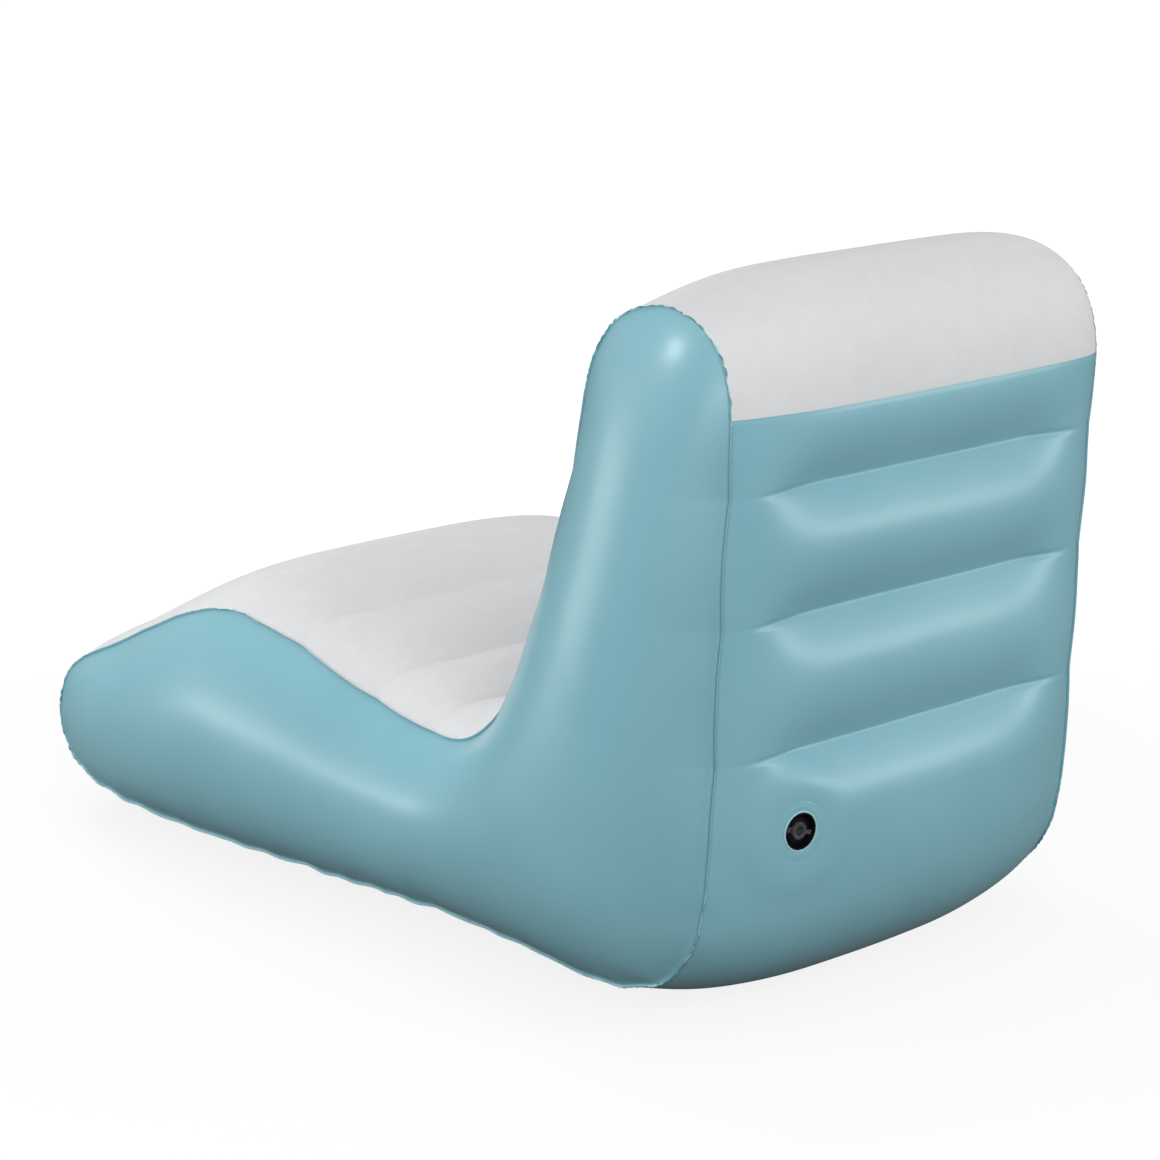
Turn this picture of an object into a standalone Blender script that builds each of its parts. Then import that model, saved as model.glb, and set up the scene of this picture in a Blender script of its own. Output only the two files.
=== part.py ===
# Inflatable pool chair: four welded films round one air chamber, six inner webs and a recessed valve.
# The chair faces -Y and stands on the floor plane z = 0, with x = 0 as its plane of symmetry.
import math

import bmesh
import bpy
import numpy as np
from mathutils import Matrix, Vector

# Seam loop: the closed line where the films across the chair meet each side film, in metres.
SEAM_LENGTH = 1.225
SEAM_HEIGHT = 0.806
SEAM_WIDTH = 0.645
SEAM_SMOOTHING = 0.011
SEAM_PINCH = 0.004          # how far each web's weld draws both seams inwards

# Film and welds.
FILM = 0.0004
GAP = 0.0003
LIP = 0.004
LAP = 0.010
LAP_START = 0.0006
LAP_RISE = 0.005

# Swell of the films between their welds.
RIB_RISE = 0.078
CROWN_BLEND = 0.070
TIP_CROWN = 0.026
FRONT_LOBE_CROWN = 0.033
LOBE_CROWN = 0.051
SEAT_CROWN = 0.050
NOOK_CROWN = 0.034
BACKREST_CROWN = 0.028
TOP_CROWN = 0.030
BACK_CROWN = 0.028
LOW_BACK_CROWN = 0.048
CORNER_CROWN = 0.040
REAR_BASE_CROWN = 0.038
MID_BASE_CROWN = 0.032
FRONT_BASE_CROWN = 0.034
SEAT_CREASE = 0.018
BACKREST_CREASE = 0.020
BACK_CREASE = 0.025
BASE_CREASE = 0.020
FLAT_DEPTH = 0.0005
FLAT_REACH = 0.015
COVER_ROW = 0.044
SHELL_ROW = 0.062

# Valve: its place on the back, and its own sizes.
VALVE_INSET = 0.1175        # from the left seam to the valve's centre
VALVE_HEIGHT = 0.2460
VALVE_FLAT = 0.0360
VALVE_LEVEL = 0.0430
EDGE = 0.0003
HOLE_RADIUS = 0.0236
COLLAR_BORE = 0.0223
COLLAR_BEAD = 0.0245
COLLAR_FLANGE = 0.0310
COLLAR_THICK = 0.0010
CUP_WALL = 0.0014
CUP_DEPTH = 0.0095
CUP_FLOOR = 0.0018
SOCKET_WALL = 0.0018
SOCKET_DEPTH = 0.0170
THREAD_RADIUS = 0.0120
THREAD_RIDGE = 0.0007
THREAD_PITCH = 0.0028
THREAD_CLEARANCE = 0.0004
CORE_COLLAR = 0.0150
CORE_TOP = 0.0048
CORE_COLLAR_THICK = 0.0028
CORE_DEPTH = 0.0160
CORE_SEAT = 0.0086
CORE_SEAT_END = 0.0073
CORE_SEAT_DEPTH = 0.0055
CORE_BORE = 0.0067
CORE_FLOOR = 0.0018
CORE_LUG_WIDTH = 0.0052
AIR_HOLE = 0.0015
AIR_HOLE_CIRCLE = 0.0041
GASKET_WIDTH = 0.0013
STEM_RADIUS = 0.0012
FLAP_RADIUS = 0.0070
FLAP_THICK = 0.0008
FLAP_TRAVEL = 0.0015
BUTTON_RADIUS = 0.0020
BUTTON_THICK = 0.0008
STOPPER_FLANGE = 0.0104
STOPPER_TOP = 0.0010
STOPPER_INSERT = 0.0042
STOPPER_HOLLOW = 0.0054
STOPPER_HOLLOW_DEPTH = 0.0055
STRAP_WIDTH = 0.0060
STRAP_THICK = 0.0013
HINGE_REACH = 0.0184
HINGE_RADIUS = 0.0010
TAB_REACH = 0.0176
TAB_ROOT_WIDTH = 0.0040
TAB_WIDTH = 0.0056
CUT_OVERRUN = 0.0020

STRAP_ANGLE = math.radians(168)
TAB_ANGLE = math.radians(345)
ROUND_SEGMENTS = 36
SMALL_SEGMENTS = 24

# Outline of the seam loop, tip first, then over the seat, up the backrest, down the back and under
# the seat: shares of its length and of its height.
seam_shares = (
    (0.000, 0.165), (0.003, 0.188), (0.013, 0.224), (0.028, 0.248), (0.055, 0.272), (0.102, 0.302),
    (0.169, 0.350), (0.234, 0.391), (0.297, 0.411), (0.337, 0.404), (0.403, 0.382), (0.488, 0.341),
    (0.553, 0.317), (0.613, 0.300), (0.651, 0.306), (0.682, 0.335), (0.707, 0.382), (0.729, 0.444),
    (0.754, 0.543), (0.780, 0.655), (0.800, 0.754), (0.812, 0.829), (0.822, 0.894), (0.838, 0.943),
    (0.863, 0.979), (0.898, 0.998), (0.932, 0.998), (0.964, 0.976), (0.986, 0.937), (0.996, 0.885),
    (0.996, 0.816), (0.991, 0.705), (0.985, 0.556), (0.980, 0.407), (0.975, 0.258), (0.968, 0.159),
    (0.954, 0.091), (0.928, 0.043), (0.887, 0.013), (0.822, 0.005), (0.732, 0.020), (0.610, 0.031),
    (0.422, 0.031), (0.218, 0.034), (0.120, 0.043), (0.055, 0.062), (0.018, 0.096), (0.002, 0.140))

# Ends of the pale cover on the seam loop, as shares.
cover_front_share = (0.016, 0.228)
cover_back_share = (1.000, 0.858)

# Both welds of each inner web on the seam loop: name, upper or front weld, lower or rear weld.
web_shares = (
    ("seat_beam_1", (0.406, 0.381), (0.406, 0.027)),
    ("seat_beam_2", (0.518, 0.329), (0.518, 0.027)),
    ("seat_beam_3", (0.604, 0.302), (0.604, 0.027)),
    ("back_beam_3", (0.697, 0.364), (0.977, 0.364)),
    ("back_beam_2", (0.757, 0.562), (0.986, 0.562)),
    ("back_beam_1", (0.795, 0.748), (0.994, 0.748)))

# Swell of the films across the chair, round the loop: place as shares, crown, depth of a crease
# below the crest, and a share that is 0 where the film bows evenly from seam to seam and 1 where it
# turns down steeply at the seams.
swell_shares = (
    ((0.000, 0.165), TIP_CROWN, SEAT_CREASE, 0.3),
    ((0.055, 0.272), FRONT_LOBE_CROWN, SEAT_CREASE, 0.5),
    ((0.169, 0.350), FRONT_LOBE_CROWN, SEAT_CREASE, 0.5),
    ((0.297, 0.411), LOBE_CROWN, SEAT_CREASE, 0.5),
    ((0.400, 0.382), SEAT_CROWN, SEAT_CREASE, 0.8),
    ((0.604, 0.302), SEAT_CROWN, SEAT_CREASE, 0.8),
    ((0.651, 0.306), NOOK_CROWN, SEAT_CREASE, 0.6),
    ((0.722, 0.460), BACKREST_CROWN, BACKREST_CREASE, 0.5),
    ((0.793, 0.754), BACKREST_CROWN, BACKREST_CREASE, 0.7),
    ((0.862, 0.981), TOP_CROWN, BACK_CREASE, 0.6),
    ((0.964, 0.977), TOP_CROWN, BACK_CREASE, 0.6),
    ((0.996, 0.860), BACK_CROWN, BACK_CREASE, 0.7),
    ((0.991, 0.705), BACK_CROWN, BACK_CREASE, 0.6),
    ((0.980, 0.407), BACK_CROWN, BACK_CREASE, 0.6),
    ((0.974, 0.240), LOW_BACK_CROWN, BACK_CREASE, 0.1),
    ((0.940, 0.060), CORNER_CROWN, BACK_CREASE, 0.3),
    ((0.700, 0.020), REAR_BASE_CROWN, BASE_CREASE, 0.0),
    ((0.560, 0.027), MID_BASE_CROWN, BASE_CREASE, 0.0),
    ((0.420, 0.027), MID_BASE_CROWN, BASE_CREASE, 0.0),
    ((0.300, 0.030), FRONT_BASE_CROWN, BASE_CREASE, 0.0),
    ((0.120, 0.040), FRONT_BASE_CROWN, BASE_CREASE, 0.0))

# Spine of a side film: the pairs of seam places that each rung joins, from the tip to the top.
rung_shares = (
    ((0.055, 0.272), (0.055, 0.055)), ((0.169, 0.350), (0.185, 0.026)), ((0.297, 0.411), (0.316, 0.025)),
    ((0.403, 0.382), (0.422, 0.027)), ((0.518, 0.329), (0.536, 0.027)), ((0.604, 0.302), (0.650, 0.024)),
    ((0.651, 0.306), (0.790, 0.006)), ((0.676, 0.328), (0.928, 0.041)), ((0.696, 0.360), (0.968, 0.159)),
    ((0.718, 0.414), (0.977, 0.320)), ((0.753, 0.543), (0.984, 0.494)), ((0.777, 0.655), (0.990, 0.655)),
    ((0.804, 0.804), (0.999, 0.816)), ((0.815, 0.880), (1.000, 0.872)))

# Where the spine crosses a rung, from the front or upper seam.
spine_share = 0.43

# Swell of a side film at each rung, of half the rung.
bulge_share = (0.38, 0.50, 0.56, 0.56, 0.56, 0.56, 0.56, 0.56, 0.56, 0.56, 0.56, 0.56, 0.54, 0.50)

# Rings of a side film from its seam to its spine, and the outer columns of a film across the chair.
ring_shares = (0.0, 0.07, 0.22, 0.48, 0.80)
floor_column_share = 0.08
edge_column_shares = (0.88, 0.95, 1.0)

# Half width of a web, and where its crease ends, of half the seam width.
web_share = 0.88
valley_end_share = 0.955

soft_edge_power, steep_edge_power = 2.0, 6.0
soft_edge_root, steep_edge_root = 1.0, 0.6
loop_samples = 2400
span_samples = 40
settle_rounds = 8

HALF_WIDTH = SEAM_WIDTH / 2
VALVE_OFFSET = HALF_WIDTH - VALVE_INSET
LIP_LEAN = math.sin(math.radians(45))
# From the weld line to the outer face of either film, along the loop's normal and across the chair.
LIP_OFFSET = (GAP / 2 + FILM) * LIP_LEAN
INSIDE = FILM + GAP


# Materials

def make_material(name, colour, roughness, metallic=0.0):
    material = bpy.data.materials.new(name)
    material.use_nodes = True
    shader = material.node_tree.nodes["Principled BSDF"]
    shader.inputs["Base Color"].default_value = (*colour, 1.0)
    shader.inputs["Roughness"].default_value = roughness
    shader.inputs["Metallic"].default_value = metallic
    material.diffuse_color = (*colour, 1.0)
    return material


# Curves

def catmull_rom(points, closed):
    """A smooth curve through the points, with span_samples steps from each one to the next."""
    points = np.asarray(points, float)
    if closed:
        before, start, end, after = (np.roll(points, turn, 0) for turn in (1, 0, -1, -2))
    else:
        padded = np.vstack([2 * points[0] - points[1], points, 2 * points[-1] - points[-2]])
        before, start, end, after = padded[:-3], padded[1:-2], padded[2:-1], padded[3:]
    steps = np.linspace(0, 1, span_samples, endpoint=False)[None, :, None]
    a, b, c, d = (part[:, None, :] for part in (before, start, end, after))
    curve = 0.5 * (2 * b + (c - a) * steps + (2 * a - 5 * b + 4 * c - d) * steps ** 2
                   + (3 * b - a - 3 * c + d) * steps ** 3)
    curve = curve.reshape(-1, points.shape[1])
    return curve if closed else np.vstack([curve, points[-1:]])


def even_loop(curve):
    """The closed curve again in loop_samples even steps, and its length."""
    ring = np.vstack([curve, curve[:1]])
    run = np.concatenate([[0], np.cumsum(np.linalg.norm(np.diff(ring, axis=0), axis=1))])
    places = np.linspace(0, run[-1], loop_samples, endpoint=False)
    return np.column_stack([np.interp(places, run, ring[:, axis]) for axis in range(2)]), run[-1]


def soften_loop(values, spread):
    """A bell-shaped average round a closed list of samples; spread is in samples."""
    reach = int(3 * spread) + 1
    offsets = np.arange(-reach, reach + 1)
    weights = np.exp(-0.5 * (offsets / spread) ** 2)
    weights /= weights.sum()
    return sum(weight * np.roll(values, -offset, axis=0) for offset, weight in zip(offsets, weights))


def smooth_step(value):
    value = min(max(value, 0.0), 1.0)
    return value * value * (3 - 2 * value)


class SeamLoop:
    """The seam loop as (y, z), read by arc length from the tip, and what the films do along it."""

    def __init__(self):
        outline = np.array(seam_shares) * (SEAM_LENGTH, SEAM_HEIGHT)
        loop, length = even_loop(catmull_rom(outline, closed=True))
        loop = soften_loop(loop, SEAM_SMOOTHING / length * loop_samples)
        self.points, self.length = even_loop(loop)
        along = np.roll(self.points, -1, 0) - np.roll(self.points, 1, 0)
        along /= np.linalg.norm(along, axis=1)[:, None]
        # The loop runs from the tip over the seat, so a quarter turn to the left points outwards.
        self.normals = np.column_stack([-along[:, 1], along[:, 0]])
        self.turn, self.shift = np.eye(2), np.zeros(2)
        self.crests = ()
        self.webs = [(name, self.place(upper), self.place(lower)) for name, upper, lower in web_shares]
        self.valleys = np.sort([end for _, *ends in self.webs for end in ends])
        self.swell = self.swell_samples()

    def place(self, share):
        """Arc length at the loop's point nearest to a place given in shares."""
        target = self.turn @ (np.array(share) * (SEAM_LENGTH, SEAM_HEIGHT)) + self.shift
        nearest = np.argmin(np.linalg.norm(self.points - target, axis=1))
        return nearest * self.length / loop_samples

    def read(self, samples, place):
        """Value of a sampled quantity at an arc length."""
        spot = (place / self.length * loop_samples) % loop_samples
        low = int(spot)
        part = spot - low
        return samples[low % loop_samples] * (1 - part) + samples[(low + 1) % loop_samples] * part

    def swell_samples(self):
        """Crown, crease depth and steepness at every sample of the loop."""
        places, *columns = zip(*sorted((self.place(share), *rest) for share, *rest in swell_shares))
        run = np.linspace(0, self.length, loop_samples, endpoint=False)
        samples = np.column_stack([np.interp(run, places, column, period=self.length) for column in columns])
        return soften_loop(samples, CROWN_BLEND / self.length * loop_samples)

    def valley_share(self, place):
        """1 on a web's weld and 0 on the crest between two welds."""
        ahead = np.min((self.valleys - place) % self.length)
        behind = np.min((place - self.valleys) % self.length)
        if min(ahead, behind) == 0:
            return 1.0
        reach = min(RIB_RISE, (ahead + behind) / 2)
        return max(0.0, 1 - min(ahead, behind) / reach) ** 2

    def move(self, along, up):
        """Shift the loop within the chair's frame."""
        self.shift = self.shift + (along, up)
        self.points = self.points + (along, up)

    def tilt(self, angle):
        """Turn the loop about the origin of its plane, the tip upwards."""
        turn = np.array([[math.cos(angle), math.sin(angle)], [-math.sin(angle), math.cos(angle)]])
        self.turn, self.shift = turn @ self.turn, turn @ self.shift
        self.points, self.normals = self.points @ turn.T, self.normals @ turn.T


# Surfaces

def half_width(seam, place):
    """Half the distance between the two seams at a place on the loop."""
    return HALF_WIDTH - SEAM_PINCH * seam.valley_share(place)


def wrap_height(seam, place, across):
    """How far a film across the chair stands off the seam loop; across runs from -1 to 1."""
    crown, crease, steep = seam.read(seam.swell, place)
    power = soft_edge_power + (steep_edge_power - soft_edge_power) * steep
    root = soft_edge_root + (steep_edge_root - soft_edge_root) * steep
    edge = (1 - abs(across) ** power) ** root
    window = smooth_step((valley_end_share - abs(across)) / (valley_end_share - web_share))
    return edge * (crown - crease * seam.valley_share(place) * window)


def wrap_point(seam, place, across, sunk=0.0):
    """Outer face of a film across the chair, or a point that lies sunk below it."""
    y, z = seam.read(seam.points, place)
    ny, nz = seam.read(seam.normals, place)
    height = wrap_height(seam, place, across) + LIP_OFFSET - sunk
    return np.array([across * (half_width(seam, place) - LIP_OFFSET), y + ny * height, z + nz * height])


def lip_point(seam, place, side, inboard):
    """Free edge of a welded lip; inboard is 1 on a film across the chair and -1 on a side film."""
    y, z = seam.read(seam.points, place)
    ny, nz = seam.read(seam.normals, place)
    out = LIP * LIP_LEAN
    off = LIP_OFFSET * inboard
    x = half_width(seam, place) - off + out
    return np.array([side * x, y + ny * (off + out), z + nz * (off + out)])


class Spine:
    """Ridge of a side film, which crosses a chain of rungs between the two halves of the seam loop."""

    def __init__(self, seam):
        self.length = seam.length
        self.upper = [seam.place(upper) for upper, _ in rung_shares]
        self.lower = [seam.place(lower) for _, lower in rung_shares]
        self.top = (self.upper[-1] + self.lower[-1]) / 2
        knots = []
        for upper, lower, bulge in zip(self.upper, self.lower, bulge_share):
            start, end = seam.read(seam.points, upper), seam.read(seam.points, lower)
            knots.append([*(start + (end - start) * spine_share), np.linalg.norm(end - start) / 2 * bulge])
        self.curve = catmull_rom(knots, closed=False)

    def rung(self, place):
        """The rung that a place on the seam loop belongs to, held at the first and last ones."""
        rungs = np.arange(len(self.upper))
        place %= self.length
        if place <= self.top:
            return np.interp(place, self.upper, rungs)
        return np.interp(place, self.lower[::-1], rungs[::-1])

    def order(self, place):
        """A number that grows from the tip to the top along either half of the seam loop."""
        place %= self.length
        return self.rung(place) + (place if place <= self.top else self.length - place) / self.length

    def read(self, place):
        """Ridge point (y, z) and swell that belong to a place on the seam loop."""
        spot = self.rung(place) * span_samples
        low = min(int(spot), len(self.curve) - 2)
        return self.curve[low] + (self.curve[low + 1] - self.curve[low]) * (spot - low)


def side_point(seam, spine, place, inward, side):
    """Outer face of a side film; inward runs from 0 at the seam to 1 at the spine."""
    start = seam.read(seam.points, place) - seam.read(seam.normals, place) * LIP_OFFSET
    *ridge, swell = spine.read(place)
    y, z = start + (np.array(ridge) - start) * inward
    edge = half_width(seam, place) + LIP_OFFSET
    reach = swell + HALF_WIDTH + LIP_OFFSET - edge
    return np.array([side * (edge + reach * (1 - (1 - inward) ** 2)), y, z])


# Mesh helpers

def add_object(name, points, faces, material, frame=Matrix()):
    """A mesh object at a frame; faces are turned to point out where they close a solid."""
    mesh = bpy.data.meshes.new(name)
    mesh.from_pydata([tuple(point) for point in points], [], faces)
    mesh.materials.append(material)
    work = bmesh.new()
    work.from_mesh(mesh)
    if all(len(edge.link_faces) == 2 for edge in work.edges):
        bmesh.ops.recalc_face_normals(work, faces=work.faces)
    work.to_mesh(mesh)
    work.free()
    thing = bpy.data.objects.new(name, mesh)
    thing.matrix_world = frame
    bpy.context.scene.collection.objects.link(thing)
    return thing


def shade_round(thing, degrees=40):
    thing.data.shade_smooth()
    thing.data.set_sharp_from_angle(angle=math.radians(degrees))


def thicken(thing, offset):
    """Give a sheet its film thickness: offset -1 keeps the sheet as the outer face, 0 as the middle."""
    film = thing.modifiers.new("film", "SOLIDIFY")
    film.thickness = FILM
    film.offset = offset
    film.use_even_offset = True
    film.use_quality_normals = True


def combine(thing, tool, operation):
    """Cut a tool from a thing, or join it on, with the tool left as a guide."""
    boolean = thing.modifiers.new(tool.name, "BOOLEAN")
    boolean.operation = operation
    boolean.object = tool
    tool.hide_render = True
    tool.display_type = "WIRE"


def turned(name, rings, material, frame, segments=ROUND_SEGMENTS, capped=False):
    """A solid turned round z. Each ring is (radius, height), and a radius may be a function of the
    angle and the height. The rings close on themselves, or end in flat caps."""
    points = []
    for radius, height in rings:
        for step in range(segments):
            angle = 2 * math.pi * step / segments
            reach = radius(angle, height) if callable(radius) else radius
            points.append((reach * math.cos(angle), reach * math.sin(angle), height))
    faces = []
    for ring in range(len(rings) - (1 if capped else 0)):
        low, high = ring * segments, (ring + 1) % len(rings) * segments
        for step in range(segments):
            ahead = (step + 1) % segments
            faces.append((low + step, low + ahead, high + ahead, high + step))
    if capped:
        faces.append(tuple(range(segments)))
        faces.append(tuple((len(rings) - 1) * segments + step for step in range(segments)))
    thing = add_object(name, points, faces, material, frame)
    shade_round(thing)
    return thing


def extruded(name, outline, half_widths, material, frame):
    """A plate from an outline in x and z, drawn out along y; half_widths gives y at each point."""
    count = len(outline)
    points = [(x, -half, z) for (x, z), half in zip(outline, half_widths)]
    points += [(x, half, z) for (x, z), half in zip(outline, half_widths)]
    faces = [tuple(range(count)), tuple(range(count, 2 * count))]
    faces += [(step, (step + 1) % count, count + (step + 1) % count, count + step) for step in range(count)]
    return add_object(name, points, faces, material, frame)


# Layout of the films

def row_places(start, end, stops, spacing):
    """Places along the loop from start to end: every stop has a row, with even rows between."""
    stops = sorted({start, end, *(stop for stop in stops if start < stop < end)})
    rows = [start]
    for low, high in zip(stops, stops[1:]):
        count = max(1, round((high - low) / spacing))
        rows.extend(low + (high - low) * (step + 1) / count for step in range(count))
    return rows


class Layout:
    """Places on the loop that the films share, so that their seams run along the same facets."""

    def __init__(self, seam):
        self.front, self.back = seam.place(cover_front_share), seam.place(cover_back_share)
        end = self.front + seam.length
        down_the_back = np.linspace(self.back, seam.webs[0][2], loop_samples)
        heights = [abs(seam.read(seam.points, place)[1] - VALVE_HEIGHT) for place in down_the_back]
        self.valve = down_the_back[np.argmin(heights)]
        flats = [self.valve - VALVE_FLAT, self.valve, self.valve + VALVE_FLAT]
        flats += [crest + step for crest in seam.crests for step in (-FLAT_REACH, FLAT_REACH)]
        stops = [*seam.valleys, *flats]
        laps = [self.front + LAP, self.back - LAP]
        self.cover_rows = row_places(self.front, self.back, [*seam.valleys, *laps], COVER_ROW)
        between = row_places(self.back + LAP_START + LAP_RISE, end - LAP_START - LAP_RISE, stops, SHELL_ROW)
        self.shell_rows = [self.back - LAP, self.back + LAP_START, *between, end - LAP_START, end + LAP]
        self.seam_rows = self.cover_rows + self.shell_rows[1:-1]
        beside_valve = [(VALVE_OFFSET + step) / HALF_WIDTH for step in (-VALVE_FLAT, VALVE_FLAT)]
        half = [floor_column_share, *beside_valve, *edge_column_shares]
        self.columns = [*(-share for share in reversed(half)), *half]


def valve_frame(seam, layout):
    """Frame of the valve on the film's outer face: z out of the chair, y up, x to the right of
    someone who looks at it from behind the chair."""
    across = VALVE_OFFSET / HALF_WIDTH
    reach = VALVE_FLAT / HALF_WIDTH
    near = [wrap_point(seam, layout.valve + step, across + shift)
            for step, shift in ((-VALVE_FLAT, 0), (VALVE_FLAT, 0), (0, -reach), (0, reach))]
    up = Vector(near[0] - near[1]).normalized()
    right = Vector(near[2] - near[3])
    right = (right - up * right.dot(up)).normalized()
    frame = Matrix((right, up, right.cross(up))).transposed().to_4x4()
    frame.translation = Vector(wrap_point(seam, layout.valve, across))
    return frame


def flatten_at_valve(point, frame):
    """Bring a point of the outer face into the valve's plane, near the valve."""
    local = frame.inverted() @ Vector(point)
    if max(abs(size) for size in local) > VALVE_LEVEL:
        return point
    local.z = 0
    return np.array(frame @ local)


# Films and webs

def film_across(name, seam, rows, columns, sunk, frame, material):
    """A film across the chair with its welded lips. sunk gives how deep each row lies: a sunk row
    is tucked under the other film, and an end cell between sunk rows has no lips."""
    width = len(columns) + 2
    points = []
    for place, depth in zip(rows, sunk):
        line = [wrap_point(seam, place, across, depth if abs(across) < 1 else 0) for across in columns]
        if frame:
            line = [flatten_at_valve(point, frame) for point in line]
        for point in line:
            point[2] = max(point[2], 0.0)
        points += [lip_point(seam, place, -1, 1), *line, lip_point(seam, place, 1, 1)]
    faces = []
    for row in range(len(rows) - 1):
        spare = 2 if sunk[row] and sunk[row + 1] else 0
        for column in range(spare, width - 1 - spare):
            low = row * width + column
            faces.append((low, low + 1, low + width + 1, low + width))
    used = sorted({index for face in faces for index in face})
    number = {index: count for count, index in enumerate(used)}
    thing = add_object(name, [points[index] for index in used],
                       [tuple(number[index] for index in face) for face in faces], material)
    thicken(thing, -1)
    shade_round(thing)
    return thing


def stitch(first, second):
    """Triangles between two chains of (order, mesh point) that share both ends."""
    faces = []
    a = b = 0
    while a < len(first) - 1 or b < len(second) - 1:
        next_a = first[a + 1][0] if a < len(first) - 1 else math.inf
        next_b = second[b + 1][0] if b < len(second) - 1 else math.inf
        if next_a <= next_b:
            face = (first[a][1], first[a + 1][1], second[b][1])
            a += 1
        else:
            face = (first[a][1], second[b + 1][1], second[b][1])
            b += 1
        if len(set(face)) == 3:
            faces.append(face)
    return faces


def side_film(name, seam, spine, layout, side, material):
    """A side film: rings from the welded lip towards the spine, closed by triangles across the spine."""
    places = layout.seam_rows
    count = len(places)
    points = [lip_point(seam, place, side, -1) for place in places]
    for inward in ring_shares:
        points += [side_point(seam, spine, place, inward, side) for place in places]
    faces = []
    for ring in range(len(ring_shares)):
        low, high = ring * count, (ring + 1) * count
        faces += [(low + step, low + (step + 1) % count, high + (step + 1) % count, high + step)
                  for step in range(count)]
    last = len(ring_shares) * count
    tip = min(range(count), key=lambda step: min(places[step] % seam.length, -places[step] % seam.length))
    top = min(range(count), key=lambda step: abs(places[step] - spine.top))
    halves = [[(tip + step) % count for step in range((top - tip) % count + 1)],
              [(tip - step) % count for step in range((tip - top) % count + 1)]]
    chains = [[(spine.order(places[step]), last + step) for step in half] for half in halves]
    for chain in chains:
        chain[0], chain[-1] = (-1.0, chain[0][1]), (float(len(rung_shares) + 1), chain[-1][1])
    faces += stitch(*chains)
    if side > 0:
        faces = [face[::-1] for face in faces]
    thing = add_object(name, points, faces, material)
    thicken(thing, -1)
    shade_round(thing)
    return thing


def web(name, seam, upper, lower, layout, material):
    """A flat inner web between two welds, just clear of the films' inner faces."""
    columns = [share for share in layout.columns if abs(share) <= web_share]
    points = [wrap_point(seam, place, across, INSIDE + GAP) for place in (upper, lower) for across in columns]
    width = len(columns)
    faces = [(step, step + 1, width + step + 1, width + step) for step in range(width - 1)]
    thing = add_object(name, points, faces, material)
    thicken(thing, 0)
    return thing


# Valve, in its own frame: heights are negative inside the chair

def thread(clearance):
    """Radius of the valve's right-hand thread, as a function of the angle and the height."""
    def radius(angle, height):
        turns = (height / THREAD_PITCH - angle / (2 * math.pi)) % 1
        return THREAD_RADIUS + clearance + THREAD_RIDGE * (0.5 - 0.5 * math.cos(2 * math.pi * turns))
    return radius


def thread_rings(clearance, top, bottom):
    """Rings of the thread from its top to its bottom, five to a turn."""
    count = math.ceil((top - bottom) / THREAD_PITCH * 5)
    return [(thread(clearance), top + (bottom - top) * step / count) for step in range(count + 1)]


def collar(frame, material):
    """Soft collar that grips the film round its hole: a bead outside and a flange inside."""
    top = GAP + COLLAR_THICK
    neck = HOLE_RADIUS - GAP
    return turned("valve_collar", [
        (COLLAR_BORE, -INSIDE - COLLAR_THICK), (COLLAR_BORE, top - EDGE), (COLLAR_BORE + EDGE, top),
        (COLLAR_BEAD - 2 * EDGE, top), (COLLAR_BEAD, GAP + EDGE), (COLLAR_BEAD, GAP), (neck, GAP),
        (neck, -INSIDE), (COLLAR_FLANGE, -INSIDE), (COLLAR_FLANGE, -INSIDE - COLLAR_THICK)], material, frame)


def cup(frame, material):
    """Recessed housing: a cup whose floor carries the threaded socket of the core."""
    top = GAP + COLLAR_THICK
    outer = COLLAR_BORE - GAP
    inner = outer - CUP_WALL
    mouth = THREAD_RADIUS + THREAD_RIDGE + THREAD_CLEARANCE
    socket = mouth + SOCKET_WALL
    return turned("valve_cup", [
        (outer, -CUP_DEPTH - CUP_FLOOR), (outer, top - EDGE), (outer - EDGE, top), (inner + EDGE, top),
        (inner, top - EDGE), (inner, -CUP_DEPTH), (mouth, -CUP_DEPTH),
        *thread_rings(THREAD_CLEARANCE, -CUP_DEPTH - EDGE, -SOCKET_DEPTH + EDGE),
        (mouth, -SOCKET_DEPTH), (socket, -SOCKET_DEPTH), (socket, -CUP_DEPTH - CUP_FLOOR)],
        material, frame)


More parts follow.
